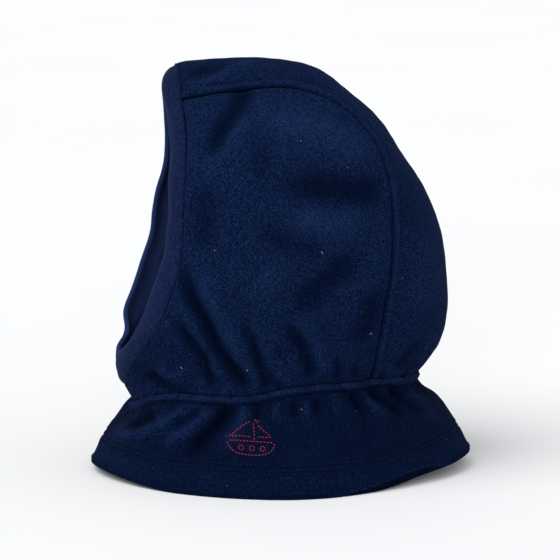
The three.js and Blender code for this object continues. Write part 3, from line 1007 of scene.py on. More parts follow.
class Board:
    """The node tree of one material."""

    def __init__(self, name: str) -> None:
        """Makes an empty material of this name."""
        self.material = bpy.data.materials.new(name)
        self.material.use_nodes = True
        self.tree = self.material.node_tree
        self.tree.nodes.clear()

    def node(
        self,
        kind: str,
        settings: dict[str, object],
        values: dict[int | str, object],
        output: int | str = 0,
    ) -> Wire:
        """Adds a node.

        Args:
            kind: The node's type.
            settings: Its properties, set first.
            values: Its inputs by name or number, each a Wire or a plain value.
            output: The output that is returned.

        Returns:
            The wire of that output.
        """
        made = self.tree.nodes.new(kind)
        for key, value in settings.items():
            setattr(made, key, value)
        for key, value in values.items():
            if isinstance(value, Wire):
                self.tree.links.new(value.socket, made.inputs[key])
            else:
                made.inputs[key].default_value = value
        return Wire(self, made.outputs[output])

    def place(self) -> Wire:
        """The place on the object, in metres."""
        return self.node("ShaderNodeTexCoord", {}, {}, "Object")

    def tone(self) -> Wire:
        """The painted light and shade, as the mesh has it."""
        return self.node("ShaderNodeAttribute", {"attribute_name": PAINTED_LIGHT}, {}, "Fac")

    def noise(self, place: Wire, scale: float, detail: float = 2.0, rough: float = 0.5) -> Wire:
        """Even noise from 0 to 1."""
        values = {"Vector": place, "Scale": scale, "Detail": detail, "Roughness": rough}
        return self.node("ShaderNodeTexNoise", {}, values, "Fac")

    def mixed(self, share: "Wire | float", first: object, second: object) -> Wire:
        """A colour between two."""
        values = {"Factor": share, 6: first, 7: second}
        return self.node("ShaderNodeMix", {"data_type": "RGBA", "clamp_factor": True}, values, 2)

    def bump(self, height: Wire, strength: float, distance: float) -> Wire:
        """A bumped normal."""
        values = {"Height": height, "Strength": strength, "Distance": distance}
        return self.node("ShaderNodeBump", {}, values, "Normal")

    def finish(self, values: dict[int | str, object]) -> bpy.types.Material:
        """Ends the tree in a principled surface.

        Args:
            values: The surface's inputs by name.

        Returns:
            The material.
        """
        surface = self.node("ShaderNodeBsdfPrincipled", {}, values)
        out = self.tree.nodes.new("ShaderNodeOutputMaterial")
        self.tree.links.new(surface.socket, out.inputs["Surface"])
        return self.material


def colour(red: float, green: float, blue: float) -> tuple[float, float, float, float]:
    """An opaque colour."""
    return (red, green, blue, 1.0)


@dataclass(frozen=True)
class Fleece:
    """Navy polyester fleece with a short brushed pile, a little bobbled, with specks of lint and
    with painted light and shade.
    """

    name: str = "fleece_navy"
    dark: tuple[float, ...] = colour(0.0005, 0.0032, 0.0165)
    # Painted shade: the colour that the deepest painted shade mixes towards.
    painted_shade: tuple[float, ...] = colour(0.0001, 0.0017, 0.0090)
    light: tuple[float, ...] = colour(0.0084, 0.0220, 0.0760)
    worn: tuple[float, ...] = colour(0.0056, 0.0165, 0.0560)
    lint: tuple[float, ...] = colour(0.10, 0.13, 0.2)
    glow: float = 0.035

    def material(self) -> bpy.types.Material:
        """Builds the material."""
        board = Board(self.name)
        place = board.place()
        pile = board.noise(place, 1450, 3.0, 0.62)
        clumps = board.noise(place, 560, 2.0, 0.55)
        slow = board.noise(place, 24, 2.0)
        tone = board.tone()
        # Painted light and shade from the mesh move the pile's mix lighter or darker; painted shade
        # also mixes towards the painted shade colour.
        mixed = pile * 5.2 + clumps * 1.1 - 2.90 + tone * 0.62
        base = board.mixed(mixed, self.dark, self.light)
        base = board.mixed((slow - 0.55) * 0.8, base, self.worn)
        base = board.mixed(0 - tone * 0.72, base, self.painted_shade)
        spread = {"Vector": place, "Scale": 120.0, "Randomness": 1.0}
        cells = board.node("ShaderNodeTexVoronoi", {}, spread, "Distance")
        specks = (cells < 0.045) * (board.noise(place, 61) > 0.6)
        base = board.mixed(specks, base, self.lint)
        normal = board.bump(pile * 0.7 + clumps * 0.7, 0.6, 0.8 * MM)
        return board.finish({
            "Base Color": base, "Roughness": 0.9 + 0.1 * pile, "Normal": normal,
            "Specular IOR Level": 0.02, "Sheen Weight": self.glow, "Sheen Roughness": 0.5,
            "Sheen Tint": colour(0.10, 0.22, 0.62),
        })


@dataclass(frozen=True)
class Jersey:
    """Smooth navy jersey, a touch more purple than the fleece, with fine ribs along the knit, and
    painted light on its fold and back face.
    """

    # Painted light: the lit colour that the fold's painted highlight and the painted back face mix
    # towards.
    back: tuple[float, ...] = colour(0.0270, 0.0500, 0.1600)
    dark: tuple[float, ...] = colour(0.0013, 0.0048, 0.0220)
    light: tuple[float, ...] = colour(0.0100, 0.0222, 0.0800)

    def material(self) -> bpy.types.Material:
        """Builds the material."""
        board = Board("jersey_navy")
        place = board.place()
        knit = board.node("ShaderNodeTexCoord", {}, {}, "UV")
        rows = {
            "Vector": knit, "Scale": 420.0, "Distortion": 1.2, "Detail": 1.0, "Detail Scale": 2.0
        }
        ribs = board.node("ShaderNodeTexWave", {"bands_direction": "X"}, rows, "Fac")
        grain = board.noise(place, 1000, 3.0, 0.68)
        slow = board.noise(place, 60, 3.0)
        tone = board.tone()
        # Painted light and shade from the mesh move the mix; above 1 it mixes towards the painted
        # light colour.
        mixed = ribs * 0.4 + grain * 4.0 + slow * 0.4 - 2.05 + tone
        base = board.mixed(mixed, self.dark, self.light)
        base = board.mixed(tone - 1, base, self.back)
        normal = board.bump(ribs * 0.7 + grain * 0.5, 0.35, 0.25 * MM)
        return board.finish({
            "Base Color": base, "Roughness": 0.72 + 0.15 * grain, "Normal": normal,
            "Specular IOR Level": 0.03, "Sheen Weight": 0.03, "Sheen Roughness": 0.4,
            "Sheen Tint": colour(0.20, 0.28, 0.62),
        })


@dataclass(frozen=True)
class Thread:
    """Spun thread in one colour."""

    name: str
    dark: tuple[float, ...]
    light: tuple[float, ...]

    def material(self) -> bpy.types.Material:
        """Builds the material."""
        board = Board(self.name)
        place = board.place()
        fibres = board.noise(place, 2600, 2.0)
        strands = board.noise(place, 420, 1.0)
        base = board.mixed(fibres * 0.7 + strands * 0.7 - 0.2, self.dark, self.light)
        normal = board.bump(fibres, 0.4, 0.15 * MM)
        return board.finish({
            "Base Color": base, "Roughness": 0.7 + 0.2 * fibres, "Normal": normal,
            "Specular IOR Level": 0.06,
        })


@dataclass(frozen=True)
class Webbing:
    """Woven elastic tape, off-white."""

    dark: tuple[float, ...] = colour(0.42, 0.42, 0.40)
    light: tuple[float, ...] = colour(0.66, 0.66, 0.63)

    def material(self) -> bpy.types.Material:
        """Builds the material."""
        board = Board("elastic_webbing")
        place = board.place()
        threads = {"Vector": place, "Scale": 300.0, "Distortion": 0.6}
        weave = board.node("ShaderNodeTexWave", {"bands_direction": "Z"}, threads, "Fac")
        grain = board.noise(place, 1500, 2.0)
        base = board.mixed(weave * 0.6 + grain * 0.4, self.dark, self.light)
        normal = board.bump(weave * 0.8 + grain * 0.3, 0.5, 0.3 * MM)
        return board.finish({"Base Color": base, "Roughness": 0.6 + 0.2 * grain, "Normal": normal})


@dataclass(frozen=True)
class Paper:
    """The pale, plain ground that the balaclava stands on."""

    pale: tuple[float, ...] = colour(0.86, 0.86, 0.87)
    paler: tuple[float, ...] = colour(0.9, 0.9, 0.9)

    def material(self) -> bpy.types.Material:
        """Builds the material."""
        board = Board("pale_ground")
        base = board.mixed(board.noise(board.place(), 3.0), self.pale, self.paler)
        return board.finish({"Base Color": base, "Roughness": 0.9, "Specular IOR Level": 0.1})


class Finishes:
    """One material for each of the record's slots."""

    def __init__(self) -> None:
        """Builds the materials."""
        self.by_slot = {
            Slot.FLEECE: Fleece().material(),
            Slot.JERSEY: Jersey().material(),
            Slot.ELASTIC: Webbing().material(),
            Slot.THREAD: Thread(
                "thread_navy", colour(0.0015, 0.0042, 0.0180), colour(0.0070, 0.0170, 0.0540)
            ).material(),
            Slot.EMBROIDERY: Thread(
                "thread_red", colour(0.16, 0.012, 0.025), colour(0.42, 0.035, 0.07)
            ).material(),
        }

    def dress(self, piece: bpy.types.Object, slot: Slot, nodes: Sequence[str]) -> None:
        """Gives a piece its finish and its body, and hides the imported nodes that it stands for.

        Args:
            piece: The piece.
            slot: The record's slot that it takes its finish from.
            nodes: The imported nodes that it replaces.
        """
        piece.data.materials.clear()
        piece.data.materials.append(self.by_slot[slot])
        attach(piece, BODY)
        if nodes:
            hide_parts(*nodes)
        faces = len(piece.data.polygons)
        log.info("%s: %d faces, stands for %s", piece.name, faces, ", ".join(nodes))


# ---------------------------------------------------------------- sub-assemblies


def settle(distance: Array) -> Array:
    """How far the cloth's face sinks at a distance from its seam, 1 mm at the seam itself."""
    return -MM * np.exp(-np.maximum(distance, 0) / (0.9 * MM))


@dataclass
class Hood:
    """The two side panels, the crown strip between them, and the seams inside.

    Attributes:
        cut: The finished shapes.
        drape: The folds.
        finishes: The materials.
        thick: One layer of fleece.
        seam_gap: Half of the gap that a seam keeps between two pieces.
        ridge: How high the folded-in allowance lifts the crown strip beside its seams.
        ridge_width: How wide that lift is.
    """

    cut: Cut
    drape: Drape
    finishes: Finishes
    thick: float = 2.4 * MM
    seam_gap: float = 0.05 * MM
    ridge: float = 0.9 * MM
    ridge_width: float = 5.5 * MM

    def build(self) -> Layer:
        """Makes and dresses every piece of the hood, and returns the left panel's outer face."""
        panels = {side: self._panel(side) for side in Side}
        crown = self._crown()
        for side in Side:
            self._topstitch(side, crown)
            self._overlock(side)
        return panels[Side.LEFT]

    def _panel(self, side: Side) -> Layer:
        """Makes and dresses one side panel.

        Args:
            side: The wearer's side that it is on.

        Returns:
            Its outer face.
        """
        rows, cols = 190, 150
        inset = self.seam_gap / self.cut.crown_seam.length
        v = np.linspace(0, 1, rows) ** 1.08 * (1 - 2 * inset) + inset
        u = np.linspace(0.0004, 0.9996, cols)
        u, v = np.meshgrid(u, v)
        v = v * (1 - 3 * MM / self.cut.crown_seam.length)
        flat = self.cut.panel(u, v)
        n = outward(flat, INSIDE_HEAD)
        n[..., 0] = np.maximum(n[..., 0], 0)
        n = unit(n)
        neck, nape = self.cut.neck_lengths
        s = u * neck / (2 * (neck + nape))
        height = flat[..., 2] - self.cut.neck_edge.at(u)[..., 2]
        lifted = mirrored(flat, side)
        place = np.where(side is Side.LEFT, s, 1 - s)
        lift, relief = self.drape.hood(lifted, place, height, smooth(n[..., 0], 0.15, 0.5))
        # Painted shade in the fold valleys and gathers, painted highlight on their ridges, and
        # painted shade towards the bottom of the panel.
        tone = 0.16 * relief / MM + blend(-0.16, 0.06, smooth(flat[..., 2], 60 * MM, 140 * MM))
        runs = Layer(flat, n)
        front, back = runs.runs, runs.runs[:, -1:] - runs.runs
        edge = np.minimum(front, back)
        lift = lift * smooth(front, 0, 9 * MM) * smooth(back, -4 * MM, 6 * MM)
        lift = lift * (0.3 + 0.7 * smooth(height, 0, 3 * MM)) + settle(edge) + 0.3 * settle(height)
        outer = flat + n * lift[..., None]
        inner = outer - n * (self.thick + np.minimum(settle(edge), 0) * 0.6)[..., None]
        name = f"side_panel_{side.word}"
        piece = cloth(
            f"hood_side_{side.word}", mirrored(outer, side), mirrored(inner, side), tone=tone
        )
        self.finishes.dress(piece, Slot.FLEECE, [name])
        return Layer(mirrored(outer, side), mirrored(n, side))

    def _crown(self) -> Layer:
        """Makes and dresses the crown strip.

        Returns:
            Its outer face, for what is sewn to it.
        """
        rows, cols = 300, 120
        w, v = np.meshgrid(np.linspace(-1, 1, cols), np.linspace(0.0005, 0.9995, rows))
        seam = self.cut.crown_seam.at(v)
        w = w * (1 - self.seam_gap / seam[..., 0])
        flat = self.cut.crown(w, v)
        n = outward(flat, INSIDE_HEAD)
        layer = Layer(flat, n)
        edge = np.minimum(layer.runs, layer.runs[:, -1:] - layer.runs)
        neck, nape = self.cut.neck_lengths
        share = 0.5 * (neck + nape * (1 - np.abs(w))) / (neck + nape)
        s = np.where(w >= 0, share, 1 - share)
        start = self.cut.crown(w, 0 * v)
        height = np.linalg.norm(flat - start, axis=-1)
        height = np.minimum(height, np.abs(flat[..., 2] - start[..., 2]) * 1.3)
        brow = (1 - v) * self.cut.crown_seam.length
        facing = smooth(np.abs(flat[..., 0]), 3 * MM, 20 * MM)
        lift, relief = self.drape.hood(flat, s, height, facing)
        # Painted shade in the fold valleys, painted highlight on their ridges, and painted shade
        # towards the neck.
        tone = 0.13 * relief / MM - 0.10 * smooth(-height, -26 * MM, 0) - 0.06
        end = -self.ridge_width
        band = smooth(edge, 0.3 * MM, 1.6 * MM) * smooth(-edge, end - MM, end + 0.4 * MM)
        puckers = 1 + 0.35 * self.drape.waves(flat, 0.012, 9)
        calm = blend(0.5, 1.0, smooth(-height, -45 * MM, -12 * MM))
        lift = lift * calm * smooth(brow, 0, 6 * MM) + self.ridge * band * puckers
        groove = hump(edge, self.ridge_width, 0.9 * MM)
        # Painted highlight on the ridge beside each seam, painted shade in the stitch groove, at
        # the seams and at the forehead end.
        tone = tone + 0.24 * band - 0.35 * groove
        tone = tone - 0.5 * np.exp(-edge / (0.7 * MM)) - 0.6 * np.exp(-brow / MM)
        lift = lift - 0.8 * MM * groove
        lift = lift + settle(np.minimum(edge, brow)) + 0.3 * settle(height)
        outer = flat + n * lift[..., None]
        inner = outer - n * (self.thick + 0.9 * MM * band)[..., None]
        piece = cloth("hood_crown", outer, inner, tone=tone)
        self.finishes.dress(piece, Slot.FLEECE, ["crown_band"])
        return Layer(outer, n)

    def _topstitch(self, side: Side, crown: Layer) -> None:
        """Sews the stitch row on the crown strip, beside one of its seams.

        Args:
            side: The seam's side.
            crown: The strip's outer face.
        """
        path, out = crown.line(self.ridge_width, from_end=side is Side.LEFT)
        keep = slice(6, -6)
        row = topstitched(f"crown_stitches_{side.word}", path[keep], out[keep])
        self.finishes.dress(row, Slot.THREAD, [f"crown_topstitch_{side.word}"])

    def _overlock(self, side: Side) -> None:
        """Makes and dresses the overlocked allowance inside one of the crown strip's seams.

        Args:
            side: The seam's side.
        """
        v = np.linspace(0.045, 0.96, 140)
        seam = self.cut.crown_seam.at(v)
        along = unit(np.gradient(seam, axis=0))
        aside = unit(self.cut.crown(0.9 + 0 * v, v) - seam)
        out = unit(np.cross(aside, along))
        inward = (out * (seam - INSIDE_HEAD)).sum(-1, keepdims=True) < 0
        out = np.where(inward, -out, out)
        middle = seam - out * (self.thick + 3.0 * MM)
        lines = (mirrored(line, side) for line in (middle, out, aside))
        tape = overlocked(f"crown_allowance_{side.word}", *lines, wrap=False)
        self.finishes.dress(tape, Slot.THREAD, [f"crown_overlock_{side.word}"])


@dataclass
class FaceBinding:
    """The folded jersey binding round the face, and the seam behind it.

    Attributes:
        cut: The finished shapes.
        drape: The folds.
        finishes: The materials.
        layer: One layer of jersey.
        hollow: The gap between the two layers of the fold.
        brow_pull: How far the binding is drawn back over the forehead.
        cheek_pull: How far its fold is drawn back at the left cheek.
    """

    cut: Cut
    drape: Drape
    finishes: Finishes
    layer: float = 1.3 * MM
    hollow: float = 0.9 * MM
    brow_pull: float = 3.6 * MM
    cheek_pull: float = 4.8 * MM

    def build(self) -> None:
        """Makes and dresses the binding and its seam."""
        rows, cols = 460, 34
        q = np.arange(rows) / rows
        qq, tt = np.meshgrid(q, np.linspace(0.004, 1, cols), indexing="ij")
        run = tt * self.cut.band_width
        flat = self.cut.binding(qq, tt)
        n = self._normals(flat)
        face = self._pulled(flat, qq, tt) + n * self._lift(flat, qq, tt)[..., None]
        depth = 2 * self.layer + self.hollow * smooth(tt, 0, 0.3)
        fold, fold_n = self._folded(face, n, depth)
        back = (face - n * depth[..., None])[:, ::-1]
        skin = np.concatenate([face, fold, back], axis=1)
        skin_n = np.concatenate([n, fold_n, -n[:, ::-1]], axis=1)
        lining = skin - skin_n * self.layer
        # Painted highlight along the fold edge, painted shade beside the seam, and painted light on
        # the fold and the back face.
        pale = 1.15 * hump(tt, 1, 0.045) - 0.45 * np.exp(-run / (1.3 * MM))
        tone = np.concatenate([pale, 1.15 + 0 * fold[..., 0], BACK_PAINTED_LIGHT + 0 * tt], axis=1)
        piece = cloth("face_binding", skin, lining, wrap=True, tone=tone)
        self._knit(piece, rows, skin)
        self.finishes.dress(piece, Slot.JERSEY, ["face_band"])
        self._seam(q)

    def _pulled(self, flat: Array, q: Array, t: Array) -> Array:
        """The binding where it is drawn back, over the forehead and at the cheeks.

        Args:
            flat: Its points as they are cut.
            q: Their places round it.
            t: Their places across it.

        Returns:
            The points, moved.
        """
        face, z = flat + 0, flat[..., 2]
        brow = smooth(-np.minimum(q, 1 - q), -0.27, -0.16) * smooth(z, 150 * MM, 200 * MM)
        brow = brow * (1 - 0.85 * smooth(z, 226 * MM, 250 * MM))
        face[..., 1] += self.brow_pull * brow * smooth(t, 0, 1)
        cheek = smooth(z, 70 * MM, 95 * MM) * smooth(-z, -196 * MM, -168 * MM)
        cheek = cheek + 0.5 * hump(z, 100 * MM, 14 * MM)
        jaw = hump(z, 85 * MM, 10 * MM) * smooth(np.abs(q - 0.5) * 2, 0.02, 0.1)
        face[..., 1] += self.cheek_pull * np.where(q < 0.5, cheek, jaw) * t
        return face

    def _lift(self, flat: Array, q: Array, t: Array) -> Array:
        """How far the binding stands off its cut shape, with its puckers beside the seam.

        Args:
            flat: Its points as they are cut.
            q: Their places round it.
            t: Their places across it.

        Returns:
            The lift in metres.
        """
        run = t * self.cut.band_width
        puckers = self.drape.waves(flat, 0.011, 12) * np.exp(-run / (5 * MM))
        lift = 0.45 * MM * puckers + 0.35 * MM * self.drape.waves(flat, 0.03, 13)
        top = smooth(-np.minimum(q, 1 - q), -0.11, -0.03)
        lift = lift + top * (2.1 * MM * np.sin(np.pi * t ** 0.9) - 2.0 * MM * smooth(t, 0, 0.12))
        chin = np.abs(q - 0.5) * 2
        lift = lift - 1.2 * MM * hump(chin, 0, 0.012) * smooth(t, 0.1, 0.9)
        return lift - 1.2 * MM * np.exp(-run / (1.0 * MM))

    @staticmethod
    def _folded(face: Array, n: Array, depth: Array) -> tuple[Array, Array]:
        """The round fold at the binding's free edge.

        Args:
            face: The outer face's points.
            n: Its normals.
            depth: From the outer face to the back one.

        Returns:
            The fold's points and normals, without those of the two faces.
        """
        turn = np.linspace(0, np.pi, 13)[1:-1]
        cos, sin = np.cos(turn)[None, :, None], np.sin(turn)[None, :, None]
        way = unit(face[:, -1] - face[:, -2])[:, None]
        edge_n = n[:, -1:]
        radius = depth[:, -1:, None] / 2
        fold = face[:, -1:] - edge_n * radius * (1 - cos) + way * radius * sin
        return fold, edge_n * cos + way * sin

    def _normals(self, face: Array) -> Array:
        """The normals that look away from the head."""
        ring = np.concatenate([face[-1:], face, face[:1]])
        n = unit(np.cross(np.gradient(ring, axis=0), np.gradient(ring, axis=1)))[1:-1]
        return n if ((face - INSIDE_HEAD) * n).sum() > 0 else -n

    @staticmethod
    def _knit(piece: bpy.types.Object, rows: int, skin: Array) -> None:
        """Lays a map along the knit on the piece: across the binding in metres, and round it.

        Args:
            piece: The piece, whose lining's vertices follow its skin's.
            rows: How many rows of vertices go round it.
            skin: The points of its skin.
        """
        across = Layer(skin, skin).runs
        round_it = np.broadcast_to(np.arange(rows)[:, None] * 0.47 / rows, across.shape)
        spots = np.stack([round_it, across], axis=-1).reshape(-1, 2)
        spots = np.concatenate([spots, spots])
        layer = piece.data.uv_layers.new(name="UVMap")
        corners = np.empty(len(piece.data.loops), np.int32)
        piece.data.loops.foreach_get("vertex_index", corners)
        layer.data.foreach_set("uv", spots[corners].ravel())

    def _seam(self, q: Array) -> None:
        """Makes and dresses the overlocked allowance behind the binding's seam.

        Args:
            q: Places round the seam.
        """
        seam = self.cut.face_seam(q)
        way = unit(self.cut.binding(q, 0 * q + 0.3) - self.cut.binding(q, 0 * q))
        ring = np.concatenate([seam[-1:], seam, seam[:1]])
        along = unit(np.gradient(ring, axis=0))[1:-1]
        out = unit(np.cross(along, way))
        out = out if ((seam - INSIDE_HEAD) * out).sum() > 0 else -out
        tape = overlocked("face_allowance", seam - out * 5.8 * MM, out, way, wrap=True)
        self.finishes.dress(tape, Slot.THREAD, ["face_overlock"])


@dataclass
class Collar:
    """The flared collar: its two halves, the neck seam with its elastic, and the stitch rows.

    Attributes:
        cut: The finished shapes.
        drape: The folds.
        finishes: The materials.
        thick: One layer of fleece.
        hem_depth: The turned-up hem.
        ridge: How high the allowance lifts the cloth just below the neck seam.
        neck_row: The stitch row's distance below the neck seam.
        hem_rows: The hem's stitch rows, up from its edge.
        roll: How much of the left half's hem rolls under, towards the back.
        waist: How far the collar is drawn in below the neck seam at the throat and the nape.
        seam_gap: Half of the gap that the throat and nape seams keep between the two halves.
        lining_lift: How far the lining ends above the hem's edge.
    """

    cut: Cut
    drape: Drape
    finishes: Finishes
    thick: float = 2.3 * MM
    hem_depth: float = 18 * MM
    ridge: float = 1.8 * MM
    neck_row: float = 4.8 * MM
    hem_rows: tuple[float, ...] = (18.5 * MM, 22 * MM)
    roll: float = 7.0 * MM
    waist: float = 3.6 * MM
    seam_gap: float = 0.02 * MM
    lining_lift: float = 2.2 * MM

    def build(self) -> Layer:
        """Makes and dresses the collar, and returns the left half's outer face."""
        faces = {side: self._half(side) for side in Side}
        left, right = faces[Side.LEFT], faces[Side.RIGHT]
        self._row("neck_stitches", "neck_topstitch", left, right, self.neck_row, from_hem=False)
        for i, height in enumerate(self.hem_rows, 1):
            self._row(f"hem_stitches_{i}", f"hem_topstitch_{i}", left, right, height, from_hem=True)
        self._neck()
        self._joins()
        return left

    def _half(self, side: Side) -> Layer:
        """Makes and dresses one half.

        Args:
            side: The wearer's side that it is on.

        Returns:
            Its outer face, from the neck seam to the hem's edge.
        """
        rows, cols = 330, 96
        ss, tt = np.meshgrid(np.linspace(0, 0.5, rows), np.linspace(0.0008, 1, cols), indexing="ij")
        flat = self.cut.collar(ss, tt)
        flat[..., 0] = np.maximum(flat[..., 0], self.seam_gap)
        n = outward(flat, INSIDE_COLLAR)
        n[0, :, 0] = n[-1, :, 0] = 0
        n = unit(n)
        hem = (1 - tt) * self.cut.slant(ss)
        lift, tone = self._relief(side, flat, n, ss, tt)
        outer = flat + n * lift[..., None]
        if side is Side.LEFT:
            tone = self._roll_under(outer, n, flat, hem, tone)
        outer[..., 2] = np.maximum(outer[..., 2], 0)
        slope = unit(self.cut.collar(ss, tt * 0 + 0.7) - self.cut.collar(ss, tt * 0 + 1))[:, :1]
        turned = self._turned_up(outer, n, slope)
        skin = np.concatenate([outer, turned], axis=1)
        within = [outer - n * self.thick, turned + n[:, -1:] * self.thick * 0.9]
        lining = np.concatenate(within, axis=1)
        above = self.lining_lift * (1 - smooth(hem, -0.1 * MM, 2.5 * MM))
        above = np.concatenate([above, self.lining_lift + 0 * turned[..., 0]], axis=1)
        lining[..., 2] = np.maximum(lining[..., 2], outer[:, -1:, 2] + above)
        for face in (skin, lining):
            face[..., 0] = np.maximum(face[..., 0], self.seam_gap)
            face[[0, -1], :, 0] = self.seam_gap
        # The turned-up hem inside takes the lining's painted shade.
        tone = np.concatenate([tone, LINING_PAINTED_SHADE + 0 * turned[..., 0]], axis=1)
        piece = cloth(
            f"collar_half_{side.word}", mirrored(skin, side), mirrored(lining, side), tone=tone
        )
        self.finishes.dress(piece, Slot.FLEECE, [f"collar_{side.word}"])
        return Layer(mirrored(skin[:, :cols], side), mirrored(n, side))

    def _relief(
        self, side: Side, flat: Array, n: Array, s: Array, t: Array
    ) -> tuple[Array, Array]:
        """How one half's cloth lies: its folds, the lift over the seams and the stitched rows.

        Args:
            side: The half's side.
            flat: The points of its smooth cloth, as on the left.
            n: The normals there.
            s: Their places round it.
            t: Their places from the neck seam to the hem.

        Returns:
            The lift in metres, and the painted light and shade.
        """
        slant = self.cut.slant(s)
        depth, hem = t * slant, (1 - t) * slant
        lifted = mirrored(flat, side)
        place = np.where(side is Side.LEFT, s, 1 - s)
        lift, relief = self.drape.collar(lifted, place, depth, smooth(n[..., 0], 0.08, 0.4))
        ends = smooth(-np.abs(flat[..., 0]), -48 * MM, -22 * MM)
        lift = lift - self.waist * hump(depth, 9 * MM, 10 * MM) * smooth(depth, 0, 6 * MM) * ends
        lift = lift * smooth(hem, -2 * MM, 16 * MM) * smooth(depth, -3 * MM, 4 * MM)
        row = -self.neck_row
        top = smooth(depth, -0.4 * MM, 0.8 * MM) * smooth(-depth, row - 0.2 * MM, row + 1.3 * MM)
        lift = lift + self.ridge * top * (1 + 0.15 * self.drape.waves(lifted, 0.008, 21))
        groove = hump(depth, self.neck_row, 0.8 * MM)
        lift = lift - 0.8 * MM * groove
        # Painted shade in the fold valleys and gathers and painted highlight on their ridges; the
        # collar is painted darker overall than the hood and less dark near the hem.
        tone = 0.25 * relief / MM - 0.52 + 0.16 * smooth(-hem, -20 * MM, -12 * MM)
        # Painted highlight on the neck ridge, painted shade in its groove and below the neck seam.
        tone = tone + 0.75 * top - 0.15 * groove
        tone = tone - 0.12 * np.exp(-np.maximum(depth - 5 * MM, 0) / (5 * MM))
        # Painted shade in the grooves of the hem's stitch rows.
        for height in self.hem_rows:
            lift = lift - 0.55 * MM * hump(hem, height, 0.8 * MM)
            tone = tone - 0.12 * hump(hem, height, 0.7 * MM)
        row = -self.hem_rows[0]
        lift = lift + 0.5 * MM * smooth(-hem, row + 0.5 * MM, row + 3 * MM)
        seams = np.minimum(s, 0.5 - s) * 0.66
        return lift + 0.2 * settle(depth) + settle(seams) * 0.8, tone

    def _roll_under(self, outer: Array, n: Array, flat: Array, hem: Array, tone: Array) -> Array:
        """Rolls the left half's hem under, towards the back, with painted shade under the roll and
        a painted highlight on its edge.

        Args:
            outer: The points of the outer face, which are moved.
            n: The normals there.
            flat: The points of the smooth cloth.
            hem: How far each is above the hem's edge.
            tone: The painted light and shade.

        Returns:
            The painted light and shade, with painted shade under the roll and a painted highlight
            on its edge.
        """
        roll = self.roll * self._rolled(flat)
        rolled = roll > 0.4 * MM
        under = smooth(-hem, -roll, -roll + 1.2 * MM) * rolled
        outer -= unit(n * LEVEL) * (under * np.maximum(roll - hem, 0) * 0.7)[..., None]
        # Painted shade under the roll and a painted highlight along its edge.
        return tone - 1.6 * under + 0.3 * hump(hem, roll + 0.5 * MM, 0.8 * MM) * rolled

    def _turned_up(self, outer: Array, n: Array, slope: Array) -> Array:
        """The cloth that is turned up inside the hem, after the hem's edge.

        Args:
            outer: The points of the outer face.
            n: The normals there.
            slope: The way up the collar, for each row.

        Returns:
            The points, row by row.
        """
        up = np.linspace(0, 1, 30)[None, 1:, None] * self.hem_depth
        inward = self.thick * 2 + 0.5 * MM
        sunk = unit(n[:, -1:] * LEVEL) * (inward * (1 - np.exp(-up / (1.6 * MM))))
        return outer[:, -1:] - sunk + slope * up

    @staticmethod
    def _rolled(flat: Array) -> Array:
        """How far the left half's hem rolls under along its edge, towards the back."""
        return smooth(flat[..., 1], 14 * MM, 76 * MM) * smooth(-flat[..., 1], -110 * MM, -80 * MM)

    def _row(
        self, name: str, node: str, left: Layer, right: Layer, distance: float, from_hem: bool
    ) -> None:
        """Sews a stitch row right round the collar.

        Args:
            name: The row's name.
            node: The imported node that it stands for.
            left: The left half's outer face.
            right: The right half's.
            distance: How far it is from an edge.
            from_hem: Whether that edge is the hem, not the neck seam.
        """
        a, a_out = left.line(distance, from_hem)
        b, b_out = right.line(distance, from_hem)
        path, out = np.vstack([a, b[::-1]]), np.vstack([a_out, b_out[::-1]])
        self.finishes.dress(topstitched(name, path, out), Slot.THREAD, [node])

    def _neck(self) -> None:
        """Makes and dresses the overlocked neck seam and the elastic behind it."""
        s = np.arange(200) / 200
        seam = self.cut.neck_ring(s)
        out = unit(self.cut.hem_ring(s) * LEVEL)
        up = np.zeros_like(seam) + np.array([0.0, 0.0, 1.0])
        allowance = overlocked("neck_allowance", seam - out * 4.4 * MM, out, up, wrap=True)
        self.finishes.dress(allowance, Slot.THREAD, ["neck_overlock"])
        elastic = taped(
            "neck_tape", seam - out * 7.0 * MM, out, up, 8 * MM, 1.4 * MM, wrap=True,
            ridge=0.2 * MM, pitch=2.6 * MM,
        )
        self.finishes.dress(elastic, Slot.ELASTIC, ["neck_elastic"])

    def _joins(self) -> None:
        """Makes and dresses the overlocked allowances of the throat and nape seams."""
        for name, s, front in (("throat", 0.0, -1.0), ("nape", 0.5, 1.0)):
            slant = float(self.cut.slant(np.array([s]))[0])
            t = np.linspace(11 * MM / slant, 1 - (self.hem_depth + 4 * MM) / slant, 12)
            middle = self.cut.collar(s + 0 * t, t) * MIDDLE_PLANE
            along = unit(np.gradient(middle, axis=0))
            aside = np.zeros_like(middle) + np.array([1.0, 0.0, 0.0])
            out = unit(np.cross(along, aside))
            out = out * np.sign(out[:, 1:2] * front)
            inside = middle - out * (self.thick + 5.5 * MM)
            tape = overlocked(f"{name}_allowance", inside, out, aside, wrap=False)
            self.finishes.dress(tape, Slot.THREAD, [f"{name}_overlock"])


